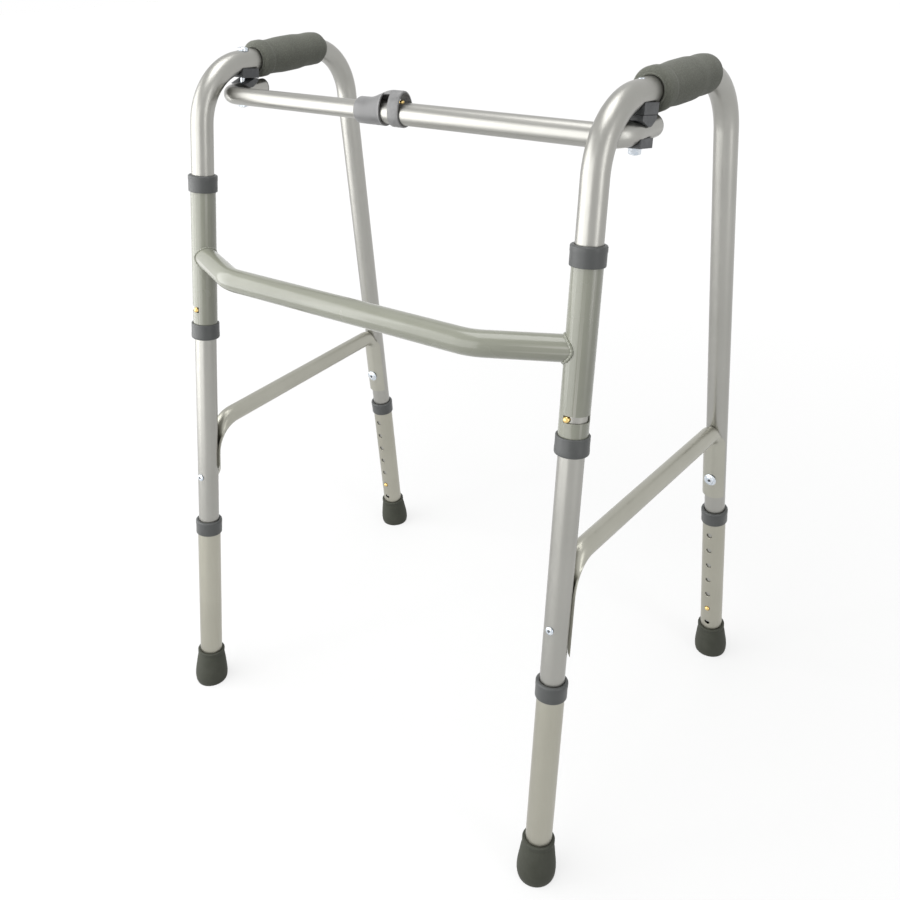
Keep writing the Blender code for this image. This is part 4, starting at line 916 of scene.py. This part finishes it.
def side_brace(name):
    """A round tube whose ends are pressed into thin shells over the legs."""
    inner = FRAME_RADIUS + TOUCH
    outer = inner + SHELL
    inset = outer * SHELL_INSET
    wrap = radians(SHELL_WRAP)
    level = Vector((1, BRACE_FALL)).normalized()
    middle = Vector((0, BRACE_LEVEL))
    front_foot = FRONT_UP * SHELL_FOOT + Vector((FRONT_UP.y, -FRONT_UP.x)) * inset
    rear_foot = REAR_BASE + REAR_UP * SHELL_FOOT + Vector((-REAR_UP.y, REAR_UP.x)) * inset
    corner = meet(front_foot, FRONT_UP, middle, level)
    front_bend = bend(corner, FRONT_UP, level, BRACE_FRONT_BEND, FINE_STEP)
    corner = meet(middle, level, rear_foot, REAR_UP)
    rear_bend = bend(corner, level, -REAR_UP, BRACE_REAR_BEND)
    stations = [(front_foot, FRONT_UP, 1), (front_foot.lerp(front_bend[0], 0.5), FRONT_UP, 1)]
    for point, share in zip(front_bend, even(0, 1, len(front_bend) - 1)):
        along = FRONT_UP.lerp(level, share).normalized()
        stations.append((point, along, eased(1, 0, share / FRONT_PRESS)))
    for share in even(0, 1, 8)[1:-1]:
        stations.append((front_bend[-1].lerp(rear_bend[0], share), level, 0))
    for point, share in zip(rear_bend, even(0, 1, len(rear_bend) - 1)):
        along = level.slerp(-REAR_UP, share)
        stations.append((point, along, eased(1, 0, (1 - share) / REAR_PRESS)))
    stations += [(rear_bend[-1].lerp(rear_foot, 0.5), -REAR_UP, 1), (rear_foot, -REAR_UP, 1)]
    sections = []
    for point, along, share in stations:
        out = Vector((along.y, -along.x))
        section = []
        for angle in even(0, 2 * pi, FINE)[:-1]:
            angle -= 2 * pi if angle > pi else 0
            facing = abs(angle) <= pi / 2 + WELD_STEP
            swing = abs(angle) if facing else pi - abs(angle)
            turn = swing / (pi / 2) * wrap * (1 if angle >= 0 else -1)
            radius = outer if facing else inner
            out_way = BRACE_TUBE * cos(angle) * (1 - share) + (radius * cos(turn) - inset) * share
            side_way = BRACE_TUBE * sin(angle) * (1 - share) + radius * sin(turn) * share
            section.append((*(point + out * out_way), side_way))
        sections.append(section)
    piece = loft(f"{name}_pressed_brace", sections, PLANES[name])
    front, rear = LEGS[name, "front"], LEGS[name, "rear"]
    normal = front.to_3x3() @ Vector((SIDES[name] * SHELL_TRIM, 0, 2 * outer)).normalized()
    trim(piece, front @ Vector((0, 0, SHELL_FOOT + SHELL_TRIM / 2)), normal, SHELL_TRIM)
    for leg in (front, rear):
        cut(piece, rod("seat", inner, SHELL_FOOT / 2, BRACE_LEVEL * 1.3, leg, FINE))
    for leg, height, turn in ((front, RIVET_HEIGHT, pi), (rear, BOLT_HEIGHT, 0)):
        drill(piece, leg, height, turn, FASTENER_RADIUS + TOUCH, inner / 2, 2 * outer)
    show(piece, f"{name}_side_brace", WARM_ALUMINIUM, 38, 0.45 * MM, 3)


def rail_cutter(name):
    line = FRONT_ARC[-8:] + [on_rail(PIVOT_S + SADDLE_LENGTH), REAR_ARC[0]]
    return sweep("rail", lifted(line), FRAME_RADIUS + TOUCH, PLANES[name])


def upper_saddle(name):
    """The saddle between the rail and the parting face."""
    low = (-UPPER_SADDLE / 2, -SADDLE_LENGTH / 2, -PARTING)
    high = (UPPER_SADDLE / 2, SADDLE_LENGTH / 2, -PARTING + UPPER_RISE)
    piece = block(f"{name}_rail_saddle", low, high, PIVOTS[name])
    cut(piece, rail_cutter(name))
    bore(piece, name, -1.5 * CLEAR, 0)
    show(piece, f"{name}_upper_saddle", SADDLE_PLASTIC, 30, 0.9 * MM, 4)


def crossbar_line(name, tip):
    """The crossbar's centre line from a tip to the end of its leg."""
    side = SIDES[name]
    corner = Vector((side * BAR_END.x, 0))
    line = bend(corner, Vector((side, 0)), Vector((0, 1)), BAR_ELBOW)
    return lifted([Vector((tip, 0))] + line + [Vector((corner.x, BAR_SPAN))])


def crossbar_saddles(name):
    """The eared saddle above the crossbar's leg and the cap below it."""
    pivot = PIVOTS[name]
    radius = BAR_RADIUS[name]
    top = -PARTING - PARTING_GAP
    half = SADDLE_LENGTH / 2
    ear = -PIVOT_DROP + SADDLE_EAR
    outline = [(-half, top), (half, top), (half, top - 3 * MM), (0.42 * half, ear + MM)]
    outline += [(0.26 * half, ear), (-0.1 * half, ear), (-0.26 * half, ear + MM)]
    outline.append((-half, top - SADDLE_EAR))
    eared = flat(f"{name}_eared_saddle", outline, MID_SADDLE, pivot @ ALONG_X)
    if name == "left":
        lean = Matrix.Rotation(radians(OPEN_SLOPE), 4, "X")
        slope = Matrix.Translation((0, 0.55 * half, top)) @ lean
        low, high = (-1.5 * CLEAR, -2 * CLEAR, 0), (1.5 * CLEAR, 0, CLEAR)
        cut(eared, block("slope", low, high, pivot @ slope))
    wide = MID_SADDLE / 2 - MM
    low = (-wide, -0.85 * half, SADDLE_FLOOR[name])
    high = (wide, 0.9 * half, -PIVOT_DROP - 0.45 * radius)
    cap = block(f"{name}_saddle_cap", low, high, pivot)
    for kind, piece, size in (("mid", eared, 0.9 * MM), ("lower", cap, 1.1 * MM)):
        cut(piece, sweep("leg", crossbar_line(name, 0)[1:], radius + TOUCH, BAR))
        bore(piece, name, -3 * CLEAR, 0)
        show(piece, f"{name}_{kind}_saddle", SADDLE_PLASTIC, 30, size, 4)


def pivot_hardware(name):
    """Bolt with a recessed pan head, and a chamfered nut. The left bolt is parted."""
    pivot = PIVOTS[name]
    nut_top = SADDLE_FLOOR[name] - TOUCH
    nut_end = nut_top - NUT_HEIGHT
    tip = nut_end - 0.8 * MM
    crown = FRAME_RADIUS + PIVOT_CROWN
    end = -PARTING + TOUCH if name == "left" else tip
    profile = chamfered(PIVOT_BOLT, end, crown - MM, 0.4 * MM)
    bolt = turned(f"{name}_pan_bolt", profile, pivot, SMALL)
    bottom = FRAME_RADIUS - PIVOT_CROWN
    profile = [(0, bottom), (PIVOT_HEAD, bottom)] + rows(PAN_HEAD, PIVOT_HEAD, crown)
    cap = turned("pan_head", profile, pivot)
    cut(cap, rail_cutter(name))
    for turn in (pi / 5, pi / 2 + pi / 5):
        low, high = (-3 * MM, -0.65 * MM, crown - 1.3 * MM), (3 * MM, 0.65 * MM, crown + 2 * MM)
        cut(cap, block("recess", low, high, pivot @ Matrix.Rotation(turn, 4, "Z")))
    cut(bolt, cap, "UNION")
    show(bolt, f"{name}_pivot_bolt", ZINC, 32, 0.15 * MM)
    if name == "left":
        start = -PARTING - PARTING_GAP - TOUCH
        profile = chamfered(PIVOT_BOLT, tip, start, 0.5 * MM)
        show(turned("left_threaded_stud", profile, pivot, SMALL), "left_pivot_stud", ZINC, 40)
    corner = NUT_FLATS / 2
    points = corner / cos(pi / 6)
    nut = rod(f"{name}_hex_nut", points, nut_end, nut_top, pivot, 6)
    profile = [(0, nut_end - MM), (corner * 0.98, nut_end - MM), (corner * 0.98, nut_end)]
    profile += [(points * 1.02, nut_end + 0.9 * MM), (points * 1.02, nut_top - 0.5 * MM)]
    profile += [(corner * 1.03, nut_top), (corner, nut_top + MM), (0, nut_top + MM)]
    cut(nut, turned("guard", profile, pivot), "INTERSECT")
    bore(nut, name, tip - CLEAR / 2, nut_top + CLEAR / 2)
    show(nut, f"{name}_pivot_nut", ZINC, 30, 0.2 * MM)


def crossbar():
    for name, tube_name in (("left", "crossbar_inner_tube"), ("right", "crossbar_outer_tube")):
        line = crossbar_line(name, BAR_TIP[name])
        bar = tube(f"crossbar_{name}_drawn", line, BAR_RADIUS[name], BAR_WALL, BAR)
        bore(bar, name, -PIVOT_DROP - CLEAR, -PIVOT_DROP + CLEAR)
        cut(bar, rod("hole", RELEASE_RADIUS + TOUCH, CLEAR / 4, CLEAR, RELEASE))
        show(bar, tube_name, BAR_ALUMINIUM, 40)
        crossbar_saddles(name)
        pivot_hardware(name)
        end_plug(name, BAR_RADIUS[name])
    collar()
    top = BAR_RADIUS["right"]
    profile = [(0, top - TOUCH), (RELEASE_RADIUS, top - TOUCH)]
    profile += dome(RELEASE_RADIUS, top + RELEASE_SHOULDER, RELEASE_DOME)
    button = turned("release_button_dome", profile, RELEASE, SMALL)
    show(button, "crossbar_release_button", BRASS, 40)


def end_plug(name, radius):
    place = BAR @ axes((SIDES[name] * BAR_END.x, BAR_SPAN, 0), (1, 0, 0), (0, 0, -1), (0, 1, 0))
    stem = radius - BAR_WALL - TOUCH
    dish = PLUG_RIM - PLUG_DISH
    low = -PLUG_DEPTH
    profile = [(0, low), (stem - 0.5 * MM, low), (stem, low + 0.8 * MM)]
    profile += [(stem, TOUCH), (radius, TOUCH)]
    profile += fillet(radius - PLUG_CORNER, PLUG_RIM - PLUG_CORNER, PLUG_CORNER, 0, 90, 6)
    profile += [(radius * 0.52, PLUG_RIM), (radius * 0.46, dish), (0, dish)]
    node = f"crossbar_{name}_end_plug"
    show(turned(f"{node}_moulded", profile, place), node, DARK_PLASTIC, 35)


def arch_section(x, radius, rise):
    """A round across the crossbar whose upper half is stretched up by a rise."""
    turns = even(0, 2 * pi, FINE)[:-1]
    return [(x, radius * cos(turn), radius * sin(turn) + rise * max(0, sin(turn))) for turn in turns]


def collar():
    """The release collar: body, slot with its spine, and the ring that arches over it."""
    skin = BAR_RADIUS["right"] + TOUCH
    wide = skin + COLLAR_WALL
    rise = COLLAR_RISE
    (body, end), (slot, ring) = COLLAR_ENDS, COLLAR_SLOT
    outside = [(body, wide - 1.1 * MM, 0), (body + 0.5 * MM, wide - 0.45 * MM, 0)]
    outside += [(body + 1.4 * MM, wide, 0)]
    for share in even(0, 1, 16):
        x = COLLAR_HIP + (ring - COLLAR_HIP) * share
        outside.append((x, wide, rise * eased(0, 1, share)))
    outside += [(end - 1.2 * MM, wide, rise), (end - 0.4 * MM, wide - 0.3 * MM, rise)]
    outside += [(end, wide - 0.8 * MM, rise)]
    inside = [(BAR_TIP["right"] - TOUCH, skin, 0), (COLLAR_HIP, skin, 0), (slot, skin, 0.8 * rise)]
    inside += [(ring, skin, 0.97 * rise), (end + MM, skin, rise)]
    piece = loft("release_collar_moulded", [arch_section(*row) for row in outside], BAR)
    cut(piece, loft("hollow", [arch_section(*row) for row in inside], BAR))
    along_x = BAR @ ALONG_X
    nose = BAR_RADIUS["left"] + SLIDE
    cut(piece, rod("nose", nose, body - MM, BAR_TIP["right"] + MM, along_x, FINE))
    big, half = 2 * CLEAR, COLLAR_SPINE / 2
    under = skin + 0.2 * rise
    outline = [(-big, -big), (big, -big), (big, big), (half, big)]
    outline += [(half, under), (-half, under), (-half, big), (-big, big)]
    place = along_x @ Matrix.Translation((0, 0, (slot + ring) / 2))
    cut(piece, flat("slot", outline, ring - slot, place))
    show(piece, "crossbar_release_collar", COLLAR_PLASTIC, 30, 0.5 * MM, 3)


def extension(name, leg):
    """The lower leg: pearl tube with bevelled holes, its bush and its rubber foot."""
    place = LEGS[name, leg]
    label = f"{name}_{leg}"
    lip = EXTENSION_BUSH + BUSH_HEIGHT
    head = lip - BUSH_LIP - TOUCH
    leg_tube = outer_tube(f"{label}_pearl_tube", EXTENSION_FOOT, head, place)
    for step in range(-HOLES_BELOW, HOLES_ABOVE + 1):
        height = LEG_BUTTON + step * HOLE_PITCH
        broken_hole(leg_tube, place, height, pi if leg == "front" else 0)
    show(leg_tube, f"{label}_leg_extension", CHAMPAGNE, 40, 0.4 * MM)
    bush(f"{label}_extension_bush", place, lip, -1)
    foot(label, place)


def foot(label, place):
    """A tapered foot with a rolled rim, gently swelled sides and a flat sole."""
    bore = OUTER_RADIUS + TOUCH
    floor_height = EXTENSION_FOOT - TOUCH
    sole = -FOOT_SOLE * 0.17
    rim = FOOT_NECK + 0.7 * MM
    profile = [(0, sole), (FOOT_SOLE, sole), (FOOT_RADIUS - 0.9 * MM, FOOT_WIDEST * 0.1)]
    profile += [(FOOT_RADIUS - 0.2 * MM, FOOT_WIDEST * 0.5), (FOOT_RADIUS, FOOT_WIDEST)]
    shoulder = ((FOOT_RADIUS + FOOT_NECK) / 2 + 0.6 * MM, FOOT_HEIGHT * 0.52)
    for goal in (shoulder, (FOOT_NECK, FOOT_HEIGHT - 5 * MM)):
        start = profile[-1]
        for share in even(0, 1, 8)[1:]:
            radius = start[0] + (goal[0] - start[0]) * share
            height = start[1] + (goal[1] - start[1]) * share
            profile.append((radius + FOOT_RING * sin(pi * share), height))
    profile += [(rim - 0.15 * MM, FOOT_HEIGHT - 4.4 * MM), (rim, FOOT_HEIGHT - 3.8 * MM)]
    profile += [(rim, FOOT_HEIGHT - 1.3 * MM)]
    profile += fillet(rim - FOOT_ROLL, FOOT_HEIGHT - FOOT_ROLL, FOOT_ROLL, 10, 90, 4)
    profile += [(bore + 0.3 * MM, FOOT_HEIGHT), (bore, FOOT_HEIGHT - 0.3 * MM)]
    profile += [(bore, floor_height), (0, floor_height)]
    piece = turned(f"{label}_moulded_foot", profile, place)
    low, high = (-2 * CLEAR, -2 * CLEAR, -1.5 * CLEAR), (2 * CLEAR, 2 * CLEAR, 0)
    cut(piece, block("ground", low, high, Matrix.Translation(place.translation)))
    show(piece, f"{label}_rubber_foot", RUBBER, 38)


def finish_solids():
    """The springs stay inside the tubes as packed, with a real finish."""
    for name, node in frame["nodes"].items():
        if name.endswith("_spring"):
            for place in node.material_slots:
                place.material = SPRING_STEEL


front_brace()
for side_name in SIDES:
    side_frame(side_name)
    for leg_name in ("front", "rear"):
        extension(side_name, leg_name)
crossbar()
finish_solids()


def studio_world():
    """White where it is seen, also in metal, and a plain sky that lights the object."""
    world = bpy.data.worlds.new("studio")
    bpy.context.scene.world = world
    made = Nodes(world)
    made.tree.nodes.clear()
    white = made.make("Background", {"Color": shade(1), "Strength": 1.0})
    sky = made.make("Background", {"Color": shade(1), "Strength": WORLD_LIGHT})
    seen = made.make("MixShader", {0: made.white_rays(), 1: sky, 2: white})
    made.make("OutputWorld", {"Surface": seen})


def floor():
    """A large floor of pale glass: white where it is seen, with the walker's soft shadow.

    Legs drawn out below it at the height joints' limits still show through it."""
    shape = bmesh.new()
    bmesh.ops.create_grid(shape, x_segments=8, y_segments=8, size=FLOOR_SIZE)
    ground = mesh_object("studio_floor", shape, Matrix.Translation((0, 0, -FLOOR_DROP)))
    made = Nodes(bpy.data.materials.new("studio_floor_white"))
    made.tree.nodes.clear()
    away = made.make("VectorMath", {0: made.place()})
    away.operation = "LENGTH"
    level = made.span(away.outputs["Value"], *FLOOR_GLOW, *FLOOR_FADE)
    glow = made.make("Emission", {"Color": shade(1), "Strength": level})
    lit, dim = (made.make("BsdfDiffuse", {"Color": shade(tone)}) for tone in (FLOOR_TONE, FLOOR_SHADE))
    plain = made.make("AddShader", {0: dim, 1: glow})
    clear = made.make("BsdfTransparent", {"Color": shade(1)})
    glass = made.make("MixShader", {0: FLOOR_CLEAR, 1: plain, 2: clear})
    seen = made.make("MixShader", {0: made.white_rays(), 1: lit, 2: glass})
    made.make("OutputMaterial", {"Surface": seen})
    ground.data.materials.append(made.look)


def softbox(name, place, target, size, power):
    """A rectangular area light aimed at a point."""
    lamp = bpy.data.lights.new(name, "AREA")
    lamp.shape = "RECTANGLE"
    lamp.size, lamp.size_y = size
    lamp.energy = power
    aim = (Vector(target) - Vector(place)).to_track_quat("-Z", "Y")
    placed(name, lamp).matrix_world = Matrix.Translation(place) @ aim.to_matrix().to_4x4()


def photo_camera():
    """The camera fitted to the photograph."""
    turn, down, roll = radians(CAMERA_TURN), radians(CAMERA_DOWN), radians(CAMERA_ROLL)
    ahead = Vector((-sin(turn) * cos(down), cos(turn) * cos(down), -sin(down)))
    level = Vector((cos(turn), sin(turn), 0))
    rise = level.cross(ahead)
    right = cos(roll) * level + sin(roll) * rise
    top = -sin(roll) * level + cos(roll) * rise
    data = bpy.data.cameras.new("photo_camera")
    data.sensor_width = SENSOR
    data.sensor_fit = "HORIZONTAL"
    data.lens = FOCAL / IMAGE * SENSOR
    data.shift_x = -(PRINCIPAL[0] - IMAGE / 2) / IMAGE
    data.shift_y = (PRINCIPAL[1] - IMAGE / 2) / IMAGE
    obj = placed("photo_camera", data)
    obj.matrix_world = axes(CAMERA_PLACE, right, top, -ahead)
    bpy.context.scene.camera = obj


studio_world()
floor()
for row in SOFTBOXES:
    softbox(*row)
photo_camera()
bpy.context.scene.view_settings.view_transform = "Standard"
